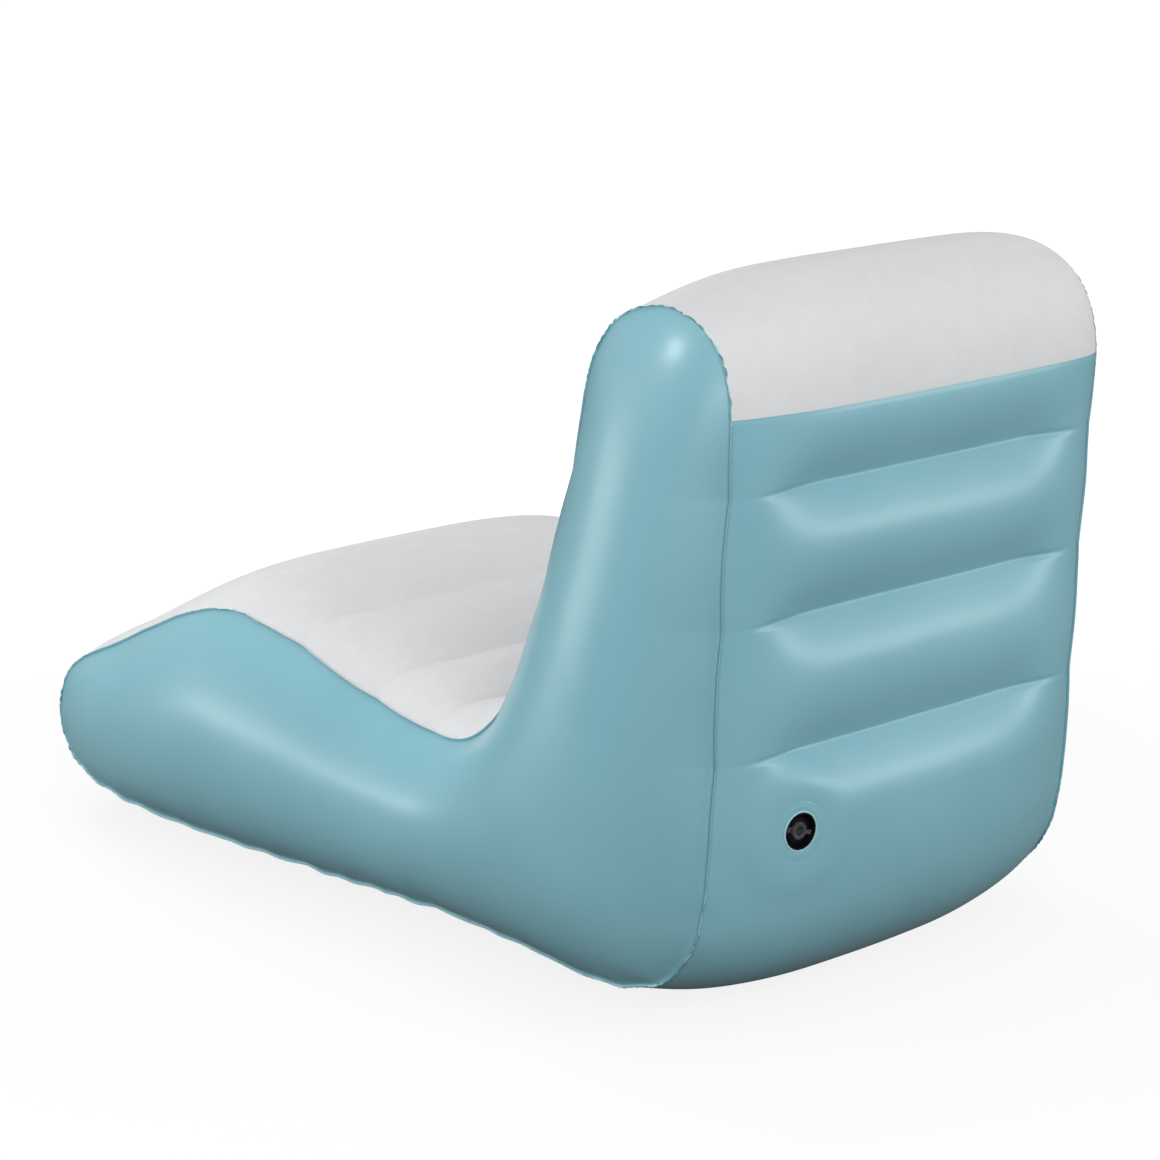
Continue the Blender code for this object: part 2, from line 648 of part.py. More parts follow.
def core(frame, material):
    """Screwed core: collar, thread, seat of the stopper, and a floor with a stem hole and air holes."""
    under = -CORE_TOP - CORE_COLLAR_THICK
    floor = -CORE_DEPTH + CORE_FLOOR
    seat_end = -CORE_TOP - CORE_SEAT_DEPTH
    stem_hole = STEM_RADIUS + GAP
    thing = turned("valve_core", [
        (CORE_SEAT, -CORE_TOP), (CORE_COLLAR - EDGE, -CORE_TOP), (CORE_COLLAR, -CORE_TOP - EDGE),
        (CORE_COLLAR, under), (THREAD_RADIUS, under),
        *thread_rings(0, -CUP_DEPTH - GAP, -CORE_DEPTH + EDGE),
        (THREAD_RADIUS - EDGE, -CORE_DEPTH), (stem_hole, -CORE_DEPTH), (stem_hole, floor), (CORE_BORE, floor),
        (CORE_BORE, seat_end), (CORE_SEAT_END, seat_end)], material, frame, SMALL_SEGMENTS)
    for count in range(4):
        turn = Matrix.Rotation(math.radians(45 + 90 * count), 4, "Z")
        shift = Matrix.Translation((AIR_HOLE_CIRCLE, 0, 0))
        hole = turned(f"air_hole_{count + 1}", [
            (AIR_HOLE, floor + CUT_OVERRUN), (AIR_HOLE, -CORE_DEPTH - CUT_OVERRUN)],
            material, frame @ turn @ shift, 12, capped=True)
        combine(thing, hole, "DIFFERENCE")
    reach = HINGE_REACH - HINGE_RADIUS - GAP
    root = (CORE_SEAT + CORE_COLLAR) / 2
    low, high = under, -CORE_TOP - EDGE
    lug = extruded("core_lug", [(root, low), (reach, low), (reach, high), (root, high)],
                   [CORE_LUG_WIDTH / 2] * 4, material, frame @ Matrix.Rotation(STRAP_ANGLE, 4, "Z"))
    combine(thing, lug, "UNION")
    return thing


def gasket(frame, material):
    """Seal ring between the core's collar and the cup's floor."""
    inner = THREAD_RADIUS + THREAD_RIDGE + THREAD_CLEARANCE
    outer = inner + GASKET_WIDTH
    low, high = -CUP_DEPTH + GAP, -CORE_TOP - CORE_COLLAR_THICK - GAP
    return turned("core_gasket", [
        (inner, low + EDGE), (inner, high - EDGE), (inner + EDGE, high), (outer - EDGE, high),
        (outer, high - EDGE), (outer, low + EDGE), (outer - EDGE, low), (inner + EDGE, low)],
        material, frame, SMALL_SEGMENTS)


def flap(frame, material):
    """One-way flap: a disc that seals the air holes from inside, on a stem with a button."""
    seat = -CORE_DEPTH - GAP
    button = -CORE_DEPTH + CORE_FLOOR + GAP + FLAP_TRAVEL
    return turned("check_flap", [
        (BUTTON_RADIUS, button + BUTTON_THICK), (BUTTON_RADIUS, button), (STEM_RADIUS, button),
        (STEM_RADIUS, seat), (FLAP_RADIUS, seat), (FLAP_RADIUS, seat - FLAP_THICK)],
        material, frame, SMALL_SEGMENTS, capped=True)


def stopper(frame, material):
    """Hollow stopper with a strap to its hinge and a pull tab; its origin lies on the hinge."""
    flange_low = -CORE_TOP + GAP
    strap_low = flange_low + EDGE
    hinge_height = strap_low + STRAP_THICK - HINGE_RADIUS
    hinge = frame @ Matrix.Rotation(STRAP_ANGLE, 4, "Z") @ Matrix.Translation((HINGE_REACH, 0, hinge_height))
    to_hinge = hinge.inverted() @ frame
    taper = (CORE_SEAT - CORE_SEAT_END) / CORE_SEAT_DEPTH
    plug = CORE_SEAT - GAP
    hollow = -STOPPER_TOP - STOPPER_HOLLOW_DEPTH
    body = turned("stopper", [
        (STOPPER_HOLLOW - EDGE, hollow), (STOPPER_HOLLOW, hollow + EDGE),
        (STOPPER_HOLLOW, -STOPPER_TOP - EDGE), (STOPPER_HOLLOW + EDGE, -STOPPER_TOP),
        (STOPPER_FLANGE - EDGE, -STOPPER_TOP), (STOPPER_FLANGE, -STOPPER_TOP - EDGE),
        (STOPPER_FLANGE, flange_low), (plug, flange_low), (plug, -CORE_TOP),
        (plug - STOPPER_INSERT * taper, -CORE_TOP - STOPPER_INSERT)],
        material, hinge, SMALL_SEGMENTS, capped=True)
    for point in body.data.vertices:
        point.co = to_hinge @ point.co
    root = (STOPPER_HOLLOW + STOPPER_FLANGE) / 2
    start = math.asin((hinge_height - strap_low) / HINGE_RADIUS) - math.pi
    arc = [start * (1 - share) + math.pi / 2 * share for share in np.linspace(0, 1, SMALL_SEGMENTS // 2)]
    barrel = [(HINGE_REACH + HINGE_RADIUS * math.cos(angle), hinge_height + HINGE_RADIUS * math.sin(angle))
              for angle in arc]
    outline = [(root, strap_low), *barrel, (root, strap_low + STRAP_THICK)]
    strap = extruded("stopper_strap", outline, [STRAP_WIDTH / 2] * len(outline), material,
                     frame @ Matrix.Rotation(STRAP_ANGLE, 4, "Z"))
    combine(body, strap, "UNION")
    high = -STOPPER_TOP - EDGE
    low = high - STRAP_THICK
    outline = [(root, low), (TAB_REACH, low), (TAB_REACH, high), (root, high)]
    halves = [TAB_ROOT_WIDTH / 2, TAB_WIDTH / 2, TAB_WIDTH / 2, TAB_ROOT_WIDTH / 2]
    tab = extruded("stopper_tab", outline, halves, material, frame @ Matrix.Rotation(TAB_ANGLE, 4, "Z"))
    combine(body, tab, "UNION")
    return body


# Whole chair

def settle(seam):
    """Tilt and move the loop until the chair rests on z = 0 with a crest at the front and one at the
    rear, and is centred on the origin."""
    places = np.arange(loop_samples) * seam.length / loop_samples
    heights = np.array([wrap_height(seam, place, 0) + LIP_OFFSET for place in places])
    for _ in range(settle_rounds):
        crown = seam.points + seam.normals * heights[:, None]
        middle = (crown[:, 0].min() + crown[:, 0].max()) / 2
        ahead = crown[:, 0] < middle
        crests = [np.where(part)[0][np.argmin(crown[part, 1])] for part in (ahead, ~ahead)]
        front, rear = crown[crests]
        seam.crests = places[crests]
        seam.tilt(math.atan2(rear[1] - front[1], rear[0] - front[0]))
        crown = seam.points + seam.normals * heights[:, None]
        seam.move(-(crown[:, 0].min() + crown[:, 0].max()) / 2, -crown[:, 1].min() - FLAT_DEPTH)


def build():
    for thing in list(bpy.data.objects):
        bpy.data.objects.remove(thing, do_unlink=True)
    teal = make_material("teal_film", (0.21, 0.41, 0.47), 0.32)
    pale = make_material("pale_cover", (0.70, 0.71, 0.72), 0.75)
    clear = make_material("clear_web", (0.55, 0.66, 0.68), 0.35)
    ring = make_material("collar_plastic", (0.38, 0.58, 0.63), 0.30)
    black = make_material("black_plastic", (0.012, 0.012, 0.013), 0.40)
    rubber = make_material("black_rubber", (0.02, 0.02, 0.022), 0.60)

    seam = SeamLoop()
    settle(seam)
    layout = Layout(seam)
    spine = Spine(seam)
    frame = valve_frame(seam, layout)

    level = [0.0] * len(layout.cover_rows)
    film_across("seat_cover", seam, layout.cover_rows, layout.columns, level, None, pale)
    tucked = [INSIDE] * 2 + [0.0] * (len(layout.shell_rows) - 4) + [INSIDE] * 2
    shell = film_across("back_base_panel", seam, layout.shell_rows, layout.columns, tucked, frame, teal)
    hole = turned("valve_hole", [(HOLE_RADIUS, CUT_OVERRUN), (HOLE_RADIUS, -CUT_OVERRUN)],
                  teal, frame, capped=True)
    combine(shell, hole, "DIFFERENCE")
    for name, side in (("side_panel_left", 1), ("side_panel_right", -1)):
        side_film(name, seam, spine, layout, side, teal)
    for name, upper, lower in seam.webs:
        web(name, seam, upper, lower, layout, clear)
    collar(frame, ring)
    cup(frame, black)
    core(frame, black)
    gasket(frame, rubber)
    flap(frame, rubber)
    stopper(frame, black)


build()
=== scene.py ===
import math

import bpy
import numpy as np
from mathutils import Matrix, Vector


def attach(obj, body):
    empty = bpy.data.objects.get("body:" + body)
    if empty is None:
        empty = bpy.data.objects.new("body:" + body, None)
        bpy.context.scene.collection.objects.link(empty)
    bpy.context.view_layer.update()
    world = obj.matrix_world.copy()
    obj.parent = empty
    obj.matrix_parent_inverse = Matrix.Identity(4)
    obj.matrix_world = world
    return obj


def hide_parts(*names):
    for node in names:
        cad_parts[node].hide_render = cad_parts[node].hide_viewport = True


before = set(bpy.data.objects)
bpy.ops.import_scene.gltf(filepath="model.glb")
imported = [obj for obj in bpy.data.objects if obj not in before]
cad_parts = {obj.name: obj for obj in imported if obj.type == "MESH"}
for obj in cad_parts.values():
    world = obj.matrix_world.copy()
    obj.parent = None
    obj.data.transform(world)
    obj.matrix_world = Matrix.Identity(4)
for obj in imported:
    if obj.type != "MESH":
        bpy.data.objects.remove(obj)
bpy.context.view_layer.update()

print("chair: frame loaded")


# small helpers

def smoothStep(value):
    value = np.clip(value, 0, 1)
    return value * value * (3 - 2 * value)


def bell(values, spread):
    # bell-shaped average round a closed list; spread is in samples
    reach = int(3 * spread) + 1
    offsets = np.arange(-reach, reach + 1)
    weights = np.exp(-0.5 * (offsets / spread) ** 2)
    weights /= weights.sum()
    return sum(weight * np.roll(values, -offset, axis=0) for offset, weight in zip(offsets, weights))


def roundCurve(points, closed, steps):
    # Catmull-Rom curve through the points
    points = np.asarray(points, float)
    if closed:
        before, start, end, after = (np.roll(points, turn, 0) for turn in (1, 0, -1, -2))
    else:
        padded = np.vstack([2 * points[0] - points[1], points, 2 * points[-1] - points[-2]])
        before, start, end, after = padded[:-3], padded[1:-2], padded[2:-1], padded[3:]
    t = np.linspace(0, 1, steps, endpoint=False)[None, :, None]
    a, b, c, d = (part[:, None, :] for part in (before, start, end, after))
    curve = 0.5 * (2 * b + (c - a) * t + (2 * a - 5 * b + 4 * c - d) * t ** 2
                   + (3 * b - a - 3 * c + d) * t ** 3)
    curve = curve.reshape(-1, points.shape[1])
    return curve if closed else np.vstack([curve, points[-1:]])


# the welded seam line of each side: metres, and places as shares of its length and height
seamLine = dict(
    length=1.225, height=0.806, width=0.645, softness=0.011, pinch=0.004, samples=2400, steps=40,
    outline=(
        (0.000, 0.165), (0.003, 0.188), (0.013, 0.224), (0.028, 0.248), (0.055, 0.272), (0.102, 0.302),
        (0.169, 0.350), (0.234, 0.391), (0.297, 0.411), (0.337, 0.404), (0.403, 0.382), (0.488, 0.341),
        (0.553, 0.317), (0.613, 0.300), (0.651, 0.306), (0.682, 0.335), (0.707, 0.382), (0.729, 0.444),
        (0.754, 0.543), (0.780, 0.655), (0.800, 0.754), (0.812, 0.829), (0.822, 0.894), (0.838, 0.943),
        (0.863, 0.979), (0.898, 0.998), (0.932, 0.998), (0.964, 0.976), (0.986, 0.937), (0.996, 0.885),
        (0.996, 0.816), (0.991, 0.705), (0.985, 0.556), (0.980, 0.407), (0.975, 0.258), (0.968, 0.159),
        (0.954, 0.091), (0.928, 0.043), (0.887, 0.013), (0.822, 0.005), (0.732, 0.020), (0.610, 0.031),
        (0.422, 0.031), (0.218, 0.034), (0.120, 0.043), (0.055, 0.062), (0.018, 0.096), (0.002, 0.140)),
    webs=(((0.406, 0.381), (0.406, 0.027)), ((0.518, 0.329), (0.518, 0.027)),
          ((0.604, 0.302), (0.604, 0.027)), ((0.697, 0.364), (0.977, 0.364)),
          ((0.757, 0.562), (0.986, 0.562)), ((0.795, 0.748), (0.994, 0.748))),
    coverFront=(0.016, 0.228), coverBack=(1.000, 0.858))

# swell of the films across the chair: place, crown, crease depth, steepness at the seams;
# a crease is full up to creaseFull and gone at creaseEnd, both shares of the half width
swell = dict(
    blend=0.070, ribRise=0.078, creaseRound=0.0015, creaseFull=0.53, creaseEnd=0.980,
    softPower=2.0, steepPower=6.0, softRoot=1.0, steepRoot=0.6, skew=0.85, skewFrom=0.62, skewTo=0.80,
    places=(
        ((0.000, 0.165), 0.026, 0.018, 0.3), ((0.055, 0.272), 0.033, 0.018, 0.5),
        ((0.169, 0.350), 0.033, 0.018, 0.5), ((0.297, 0.411), 0.051, 0.018, 0.5),
        ((0.400, 0.382), 0.050, 0.018, 0.8), ((0.604, 0.302), 0.050, 0.018, 0.8),
        ((0.651, 0.306), 0.034, 0.018, 0.6), ((0.722, 0.460), 0.028, 0.020, 0.5),
        ((0.793, 0.754), 0.028, 0.020, 0.7), ((0.862, 0.981), 0.030, 0.025, 0.6),
        ((0.964, 0.977), 0.030, 0.025, 0.6), ((0.996, 0.860), 0.028, 0.025, 0.7),
        ((0.991, 0.705), 0.028, 0.025, 0.6), ((0.980, 0.407), 0.028, 0.025, 0.6),
        ((0.974, 0.240), 0.048, 0.025, 0.1), ((0.940, 0.060), 0.040, 0.025, 0.3),
        ((0.700, 0.020), 0.038, 0.020, 0.0), ((0.560, 0.027), 0.032, 0.020, 0.0),
        ((0.420, 0.027), 0.032, 0.020, 0.0), ((0.300, 0.030), 0.034, 0.020, 0.0),
        ((0.120, 0.040), 0.034, 0.020, 0.0)))

film = dict(thick=0.0004, gap=0.0003, lap=0.010, lapRise=0.005, flatDepth=0.0005, settleRounds=8,
            lipAngle=math.radians(45))
film["lipOffset"] = (film["gap"] / 2 + film["thick"]) * math.sin(film["lipAngle"])


class SeamLine:
    # the seam line as (y, z), read by its length from the chair's tip

    def __init__(self):
        look = seamLine
        self.size = np.array((look["length"], look["height"]))
        loop, length = self.even(roundCurve(np.array(look["outline"]) * self.size, True, look["steps"]))
        loop = bell(loop, look["softness"] / length * look["samples"])
        self.points, self.length = self.even(loop)
        along = np.roll(self.points, -1, 0) - np.roll(self.points, 1, 0)
        along /= np.linalg.norm(along, axis=1)[:, None]
        self.normals = np.column_stack([-along[:, 1], along[:, 0]])
        self.turn, self.shift = np.eye(2), np.zeros(2)
        self.webs = [[self.place(end) for end in ends] for ends in look["webs"]]
        self.valleys = np.sort(np.ravel(self.webs))
        self.swell = self.swellSamples()
        self.settle()

    def even(self, curve):
        # evenly spaced samples of a closed curve, and its length
        ring =np.vstack([curve, curve[:1]])
        run = np.concatenate([[0], np.cumsum(np.linalg.norm(np.diff(ring, axis=0), axis=1))])
        places = np.linspace(0, run[-1], seamLine["samples"], endpoint=False)
        return np.column_stack([np.interp(places, run, ring[:, axis]) for axis in range(2)]), run[-1]

    def place(self, share):
        target = self.turn @ (np.array(share) * self.size) + self.shift
        nearest = np.argmin(np.linalg.norm(self.points - target, axis=1))
        return nearest * self.length / seamLine["samples"]

    def read(self, samples, places):
        spot = np.asarray(places) / self.length * seamLine["samples"]
        low = np.floor(spot).astype(int)
        part = spot - low
        if samples.ndim > 1:
            part = part[..., None]
        count = seamLine["samples"]
        return samples[low % count] * (1 - part) + samples[(low + 1) % count] * part

    def swellSamples(self):
        rows = sorted((self.place(share), *rest) for share, *rest in swell["places"])
        places, *columns = zip(*rows)
        run = np.linspace(0, self.length, seamLine["samples"], endpoint=False)
        samples = np.column_stack([np.interp(run, places, column, period=self.length) for column in columns])
        return bell(samples, swell["blend"] / self.length * seamLine["samples"])

    def valley(self, places):
        # 1 on a web's weld, 0 on the crest between two welds
        places = np.atleast_1d(places)[:, None]
        ahead = np.min((self.valleys[None, :] - places) % self.length, axis=1)
        behind = np.min((places - self.valleys[None, :]) % self.length, axis=1)
        near = np.minimum(ahead, behind)
        reach = np.where(near > 0, np.minimum(swell["ribRise"], (ahead + behind) / 2), swell["ribRise"])
        near = np.sqrt(near ** 2 + swell["creaseRound"] ** 2) - swell["creaseRound"]
        return np.maximum(0, 1 - near / reach) ** 2

    def settle(self):
        # tilt and move the line until the chair rests on its front and rear crests
        places = np.arange(seamLine["samples"]) * self.length / seamLine["samples"]
        heights = wrapHeight(self, places, np.zeros(1))[:, 0] + film["lipOffset"]
        for _ in range(film["settleRounds"]):
            crown = self.points + self.normals * heights[:, None]
            middle = (crown[:, 0].min() + crown[:, 0].max()) / 2
            ahead = crown[:, 0] < middle
            front, rear = (crown[part][np.argmin(crown[part, 1])] for part in (ahead, ~ahead))
            angle = math.atan2(rear[1] - front[1], rear[0] - front[0])
            turn = np.array([[math.cos(angle), math.sin(angle)], [-math.sin(angle), math.cos(angle)]])
            self.turn, self.shift = turn @ self.turn, turn @ self.shift
            self.points, self.normals = self.points @ turn.T, self.normals @ turn.T
            crown = self.points + self.normals * heights[:, None]
            low, high = crown.min(axis=0), crown.max(axis=0)
            move = np.array((-(low[0] + high[0]) / 2, -low[1] - film["flatDepth"]))
            self.points, self.shift = self.points + move, self.shift + move


def wrapHeight(seam, places, across):
    # how far a film across the chair stands off the seam line
    crown, crease, steep = (column[:, None] for column in seam.read(seam.swell, places).T)
    share = np.abs(across)[None, :]
    level = seam.read(seam.points, places)[:, 1:]
    high = smoothStep((level - swell["skewFrom"]) / (swell["skewTo"] - swell["skewFrom"]))
    steep = np.clip(steep * (1 - swell["skew"] * high * across[None, :]), 0, 1)
    power = swell["softPower"] + (swell["steepPower"] - swell["softPower"]) * steep
    root = swell["softRoot"] + (swell["steepRoot"] - swell["softRoot"]) * steep
    edge = np.maximum(0, 1 - share ** power) ** root
    window = smoothStep((swell["creaseEnd"] - share) / (swell["creaseEnd"] - swell["creaseFull"]))
    return edge * (crown - crease * seam.valley(places)[:, None] * window)


seam = SeamLine()
halfSeam = seamLine["width"] / 2
coverFront, coverBack = seam.place(seamLine["coverFront"]), seam.place(seamLine["coverBack"])
print("chair: seam line", round(seam.length, 3), "m")


# gathers of the film along each seam
gathers = dict(
    seed=7, spacing=(0.006, 0.017), depth=(0.0002, 0.0009), width=(0.0016, 0.0036),
    length=(0.005, 0.012), slant=0.25, straight=0.10, curveFull=9.0, curveSoften=12,
    search=0.03, rise=0.0012, fadePower=1.5, foldPower=1.4,
    wave=(0.00015, 0.0011), waveLengths=(0.045, 0.095), waves=9, waveFade=0.022, sideWave=0.35)


def seamCurve():
    # outward bend of the seam line, 1 over its radius, softened
    step = seam.length / seamLine["samples"]
    bend = (np.roll(seam.normals, -1, 0) - np.roll(seam.normals, 1, 0)) / (2 * step)
    along = np.column_stack([seam.normals[:, 1], -seam.normals[:, 0]])
    return bell(np.sum(bend * along, axis=1), gathers["curveSoften"])


def seamBend(places):
    # 0 where the seam runs straight, 1 where it bends outward tightly
    return np.clip(seam.read(curveSamples, places) / gathers["curveFull"], 0, 1)


class Gathers:
    # small folds across one seam, shared by the two films that meet there

    def __init__(self, seed):
        look = gathers
        draw = np.random.default_rng(seed)
        places = []
        run = 0.0
        while run < seam.length - look["spacing"][1]:
            run += draw.uniform(*look["spacing"])
            places.append(run)
        self.places = np.array(places)
        count = len(places)
        full = np.maximum(seamBend(self.places), look["straight"])
        self.depth = draw.uniform(*look["depth"], count) * full
        self.width = draw.uniform(*look["width"], count)
        self.reach = draw.uniform(*look["length"], count)
        self.slant = draw.normal(0, look["slant"], count)
        lengths = draw.uniform(*look["waveLengths"], look["waves"])
        self.turns = np.round(seam.length / lengths)
        self.phases = draw.uniform(0, 2 * math.pi, (2, look["waves"]))

    def fold(self, places, distance):
        # depth of the folds at rows of places and a grid of distances from the seam
        look = gathers
        out = np.zeros(distance.shape)
        folds = zip(self.places, self.depth, self.width, self.reach, self.slant)
        for place, depth, width, reach, slant in folds:
            off = (places - place + seam.length / 2) % seam.length - seam.length / 2
            rows = np.where(np.abs(off) < look["search"])[0]
            if not len(rows):
                continue
            near = distance[rows]
            aside = (off[rows][:, None] + slant * near) / (width * (1 + near / reach))
            fade = np.exp(-(near / reach) ** look["fadePower"]) * (1 - np.exp(-near / look["rise"]))
            out[rows] += depth * np.exp(-np.abs(aside) ** look["foldPower"]) * fade
        return out

    def wave(self, places, axis):
        # slow wander of the weld line
        angle = 2 * math.pi * np.outer(places, self.turns) / seam.length + self.phases[axis]
        return np.sin(angle).sum(axis=1) / math.sqrt(gathers["waves"])


curveSamples = seamCurve()
seamGathers = {side: Gathers(gathers["seed"] + side) for side in (-1, 1)}


def seamShift(places, side):
    # offset of the weld line in x, y and z
    outward = seam.read(seam.normals, places)
    low, high = gathers["wave"]
    size = low + (high - low) * smoothStep(-outward[:, 1])   # the weld wanders most along the bottom
    off = seamGathers[side].wave(places, 0) * size
    aside = seamGathers[side].wave(places, 1) * size * gathers["sideWave"]
    return np.column_stack([side * aside, outward * off[:, None]])


# slow unevenness of the inflated film, in metres; it is full from reach on, measured from the seam
ripple = dict(seed=11, count=14, lengths=(0.10, 0.26), height=0.00009, reach=0.03)


def rippleHeight(points):
    draw = np.random.default_rng(ripple["seed"])
    out = np.zeros(points.shape[:-1])
    for _ in range(ripple["count"]):
        way = draw.normal(size=3)
        way *= 2 * math.pi / draw.uniform(*ripple["lengths"]) / np.linalg.norm(way)
        out += np.sin(points @ way + draw.uniform(0, 2 * math.pi))
    return out * ripple["height"]


# meshes

def gridNormals(points):
    down = np.gradient(points, axis=0)
    across = np.gradient(points, axis=1)
    normals = np.cross(across, down)
    return normals / np.maximum(np.linalg.norm(normals, axis=2), 1e-12)[..., None]


def makeMesh(name, points, faces, attributes):
    mesh = bpy.data.meshes.new(name)
    mesh.from_pydata(points.tolist(), [], faces)
    for key, values in attributes.items():
        mesh.attributes.new(key, "FLOAT", "POINT").data.foreach_set("value", values.astype(np.float32))
    mesh.shade_smooth()
    thing = bpy.data.objects.new(name, mesh)
    bpy.context.scene.collection.objects.link(thing)
    return thing


def gridFaces(rows, columns):
    low = np.arange(rows - 1)[:, None] * columns + np.arange(columns - 1)[None, :]
    high = low + columns
    return np.stack([low, low + 1, high + 1, high], axis=-1).reshape(-1, 4)


# the films across the chair
across = dict(seamStep=0.0022, seamReach=0.024, middleStep=0.0085, rowStep=0.0026, curvedStep=0.0015,
              creaseStep=0.0013, creaseReach=0.008, fineStep=0.002)


def acrossShares():
    # places across the chair, closer together near the seams
    near = np.arange(0, across["seamReach"], across["seamStep"])
    count = round((halfSeam - across["seamReach"]) / across["middleStep"])
    far = np.linspace(across["seamReach"], halfSeam, count)
    half = 1 - np.concatenate([near, far]) / halfSeam
    return np.concatenate([-half[:-1], half[::-1]])


def rowPlaces(start, end, stops):
    # places along the seam line, closer together at the webs' welds
    marks = {start, end}
    for stop in stops:
        for mark in (stop - across["creaseReach"], stop, stop + across["creaseReach"]):
            if start < mark < end:
                marks.add(mark)
    marks = sorted(marks)
    rows = [start]
    for low, high in zip(marks, marks[1:]):
        inCrease = any(abs((low + high) / 2 - stop) < across["creaseReach"] for stop in stops)
        step = across["creaseStep"] if inCrease else across["rowStep"]
        fine = np.linspace(low, high, max(2, round((high - low) / across["fineStep"])))
        curved = across["rowStep"] + (across["curvedStep"] - across["rowStep"]) * seamBend(fine)
        steps = np.minimum(step, curved)
        run = np.concatenate([[0], np.cumsum((high - low) / (len(fine) - 1) / steps[1:])])
        rows.extend(np.interp(np.linspace(0, run[-1], max(1, round(run[-1])) + 1)[1:], run, fine))
    return np.array(rows)


# each crease ends in a fine line towards the seam; start, full, fade and end are shares of the half width
creaseLine = dict(depth=0.0014, along=0.0040, start=0.54, full=0.66, fade=0.74, end=0.965)


def creaseLineDepth(places, shares):
    look = creaseLine
    off = (places[:, None] - seam.valleys[None, :] + seam.length / 2) % seam.length - seam.length / 2
    line = np.exp(-(off / look["along"]) ** 2).sum(axis=1)
    share = np.abs(shares)
    rise = smoothStep((share - look["start"]) / (look["full"] - look["start"]))
    fall = smoothStep((look["end"] - share) / (look["end"] - look["fade"]))
    return look["depth"] * line[:, None] * (rise * fall)[None, :]


def wrapGrid(places, shares):
    line, outward = seam.read(seam.points, places), seam.read(seam.normals, places)
    height = wrapHeight(seam, places, shares) - creaseLineDepth(places, shares) + film["lipOffset"]
    half = halfSeam - seamLine["pinch"] * seam.valley(places) - film["lipOffset"]
    points = np.empty((len(places), len(shares), 3))
    points[..., 0] = shares[None, :] * half[:, None]
    points[..., 1:] = line[:, None, :] + outward[:, None, :] * height[..., None]
    return points


def dressWrap(points, places, shares):
    # gathers and unevenness on a film across the chair
    distance = (1 - np.abs(shares))[None, :] * halfSeam * np.ones((len(places), 1))
    normals = gridNormals(points)
    depth = np.zeros(distance.shape)
    for side in (-1, 1):
        half = shares * side > 0
        depth[:, half] = seamGathers[side].fold(places, distance[:, half])
        fade = np.exp(-distance[:, half] / gathers["waveFade"])
        points[:, half] += seamShift(places, side)[:, None, :] * fade[..., None]
    settled = smoothStep(distance / ripple["reach"])
    points += normals * (rippleHeight(points) * settled - depth)[..., None]
    points[..., 2] = np.maximum(points[..., 2], 0)
    return points, distance


# free edges of the welds: scallops between small notches
lip = dict(width=0.0036, coverScale=0.72, rings=(0.3, 0.6, 0.85, 1.0), lean=58, flutter=42,
           spacing=(0.006, 0.015), notch=0.62, notchSizes=(0.5, 1), straight=0.12, seed=23)


class Scallops:
    # the scallops along one seam's free edge

    def __init__(self, seed):
        draw = np.random.default_rng(seed)
        steps = draw.uniform(*lip["spacing"], round(seam.length / np.mean(lip["spacing"])))
        self.ends = np.cumsum(steps) / steps.sum() * seam.length
        self.leans = draw.uniform(-1, 1, len(steps))
        self.sizes = draw.uniform(*lip["notchSizes"], len(steps))

    def at(self, places):
        # the lean of each place's scallop, and how far its edge draws in
        places = np.asarray(places) % seam.length
        index = np.minimum(np.searchsorted(self.ends, places), len(self.ends) - 1)
        start = np.where(index > 0, self.ends[index - 1], 0)
        share = np.clip((places - start) / (self.ends[index] - start), 0, 1)
        arch = np.sqrt(np.sin(math.pi * share))
        return self.leans[index] * arch, (1 - arch) * self.sizes[index]


seamScallops = {side: Scallops(lip["seed"] + side) for side in (-1, 1)}


def lipRings(places, side, inboard, scale=1.0):
    # rings of a lip from just outside the weld to its free edge, then the middle of the two films
    line, outward = seam.read(seam.points, places), seam.read(seam.normals, places)
    full = np.maximum(seamBend(places), lip["straight"])
    lean, drawn = seamScallops[side].at(places)
    settled = film["lipAngle"]
    lean = math.radians(lip["lean"]) + math.radians(lip["flutter"]) * lean * full
    width = lip["width"] * scale * (1 - lip["notch"] * drawn * full)
    half = halfSeam - seamLine["pinch"] * seam.valley(places)
    shift = seamShift(places, side)
    rings = []
    for part, off in [*((part, inboard) for part in lip["rings"]), (1.0, 0.0)]:
        angle = settled + (lean - settled) * part
        reach = width * part
        x = half - film["lipOffset"] * off + reach * np.cos(angle)
        up = film["lipOffset"] * off + reach * np.sin(angle)
        rings.append(np.column_stack([side * x, line + outward * up[:, None]]) + shift)
    return np.stack(rings, axis=1)


def lipShares(count):
    # 0 at the weld, 1 at the free edge, for the rings of a lip
    return np.tile([*lip["rings"], 1.0], (count, 1))


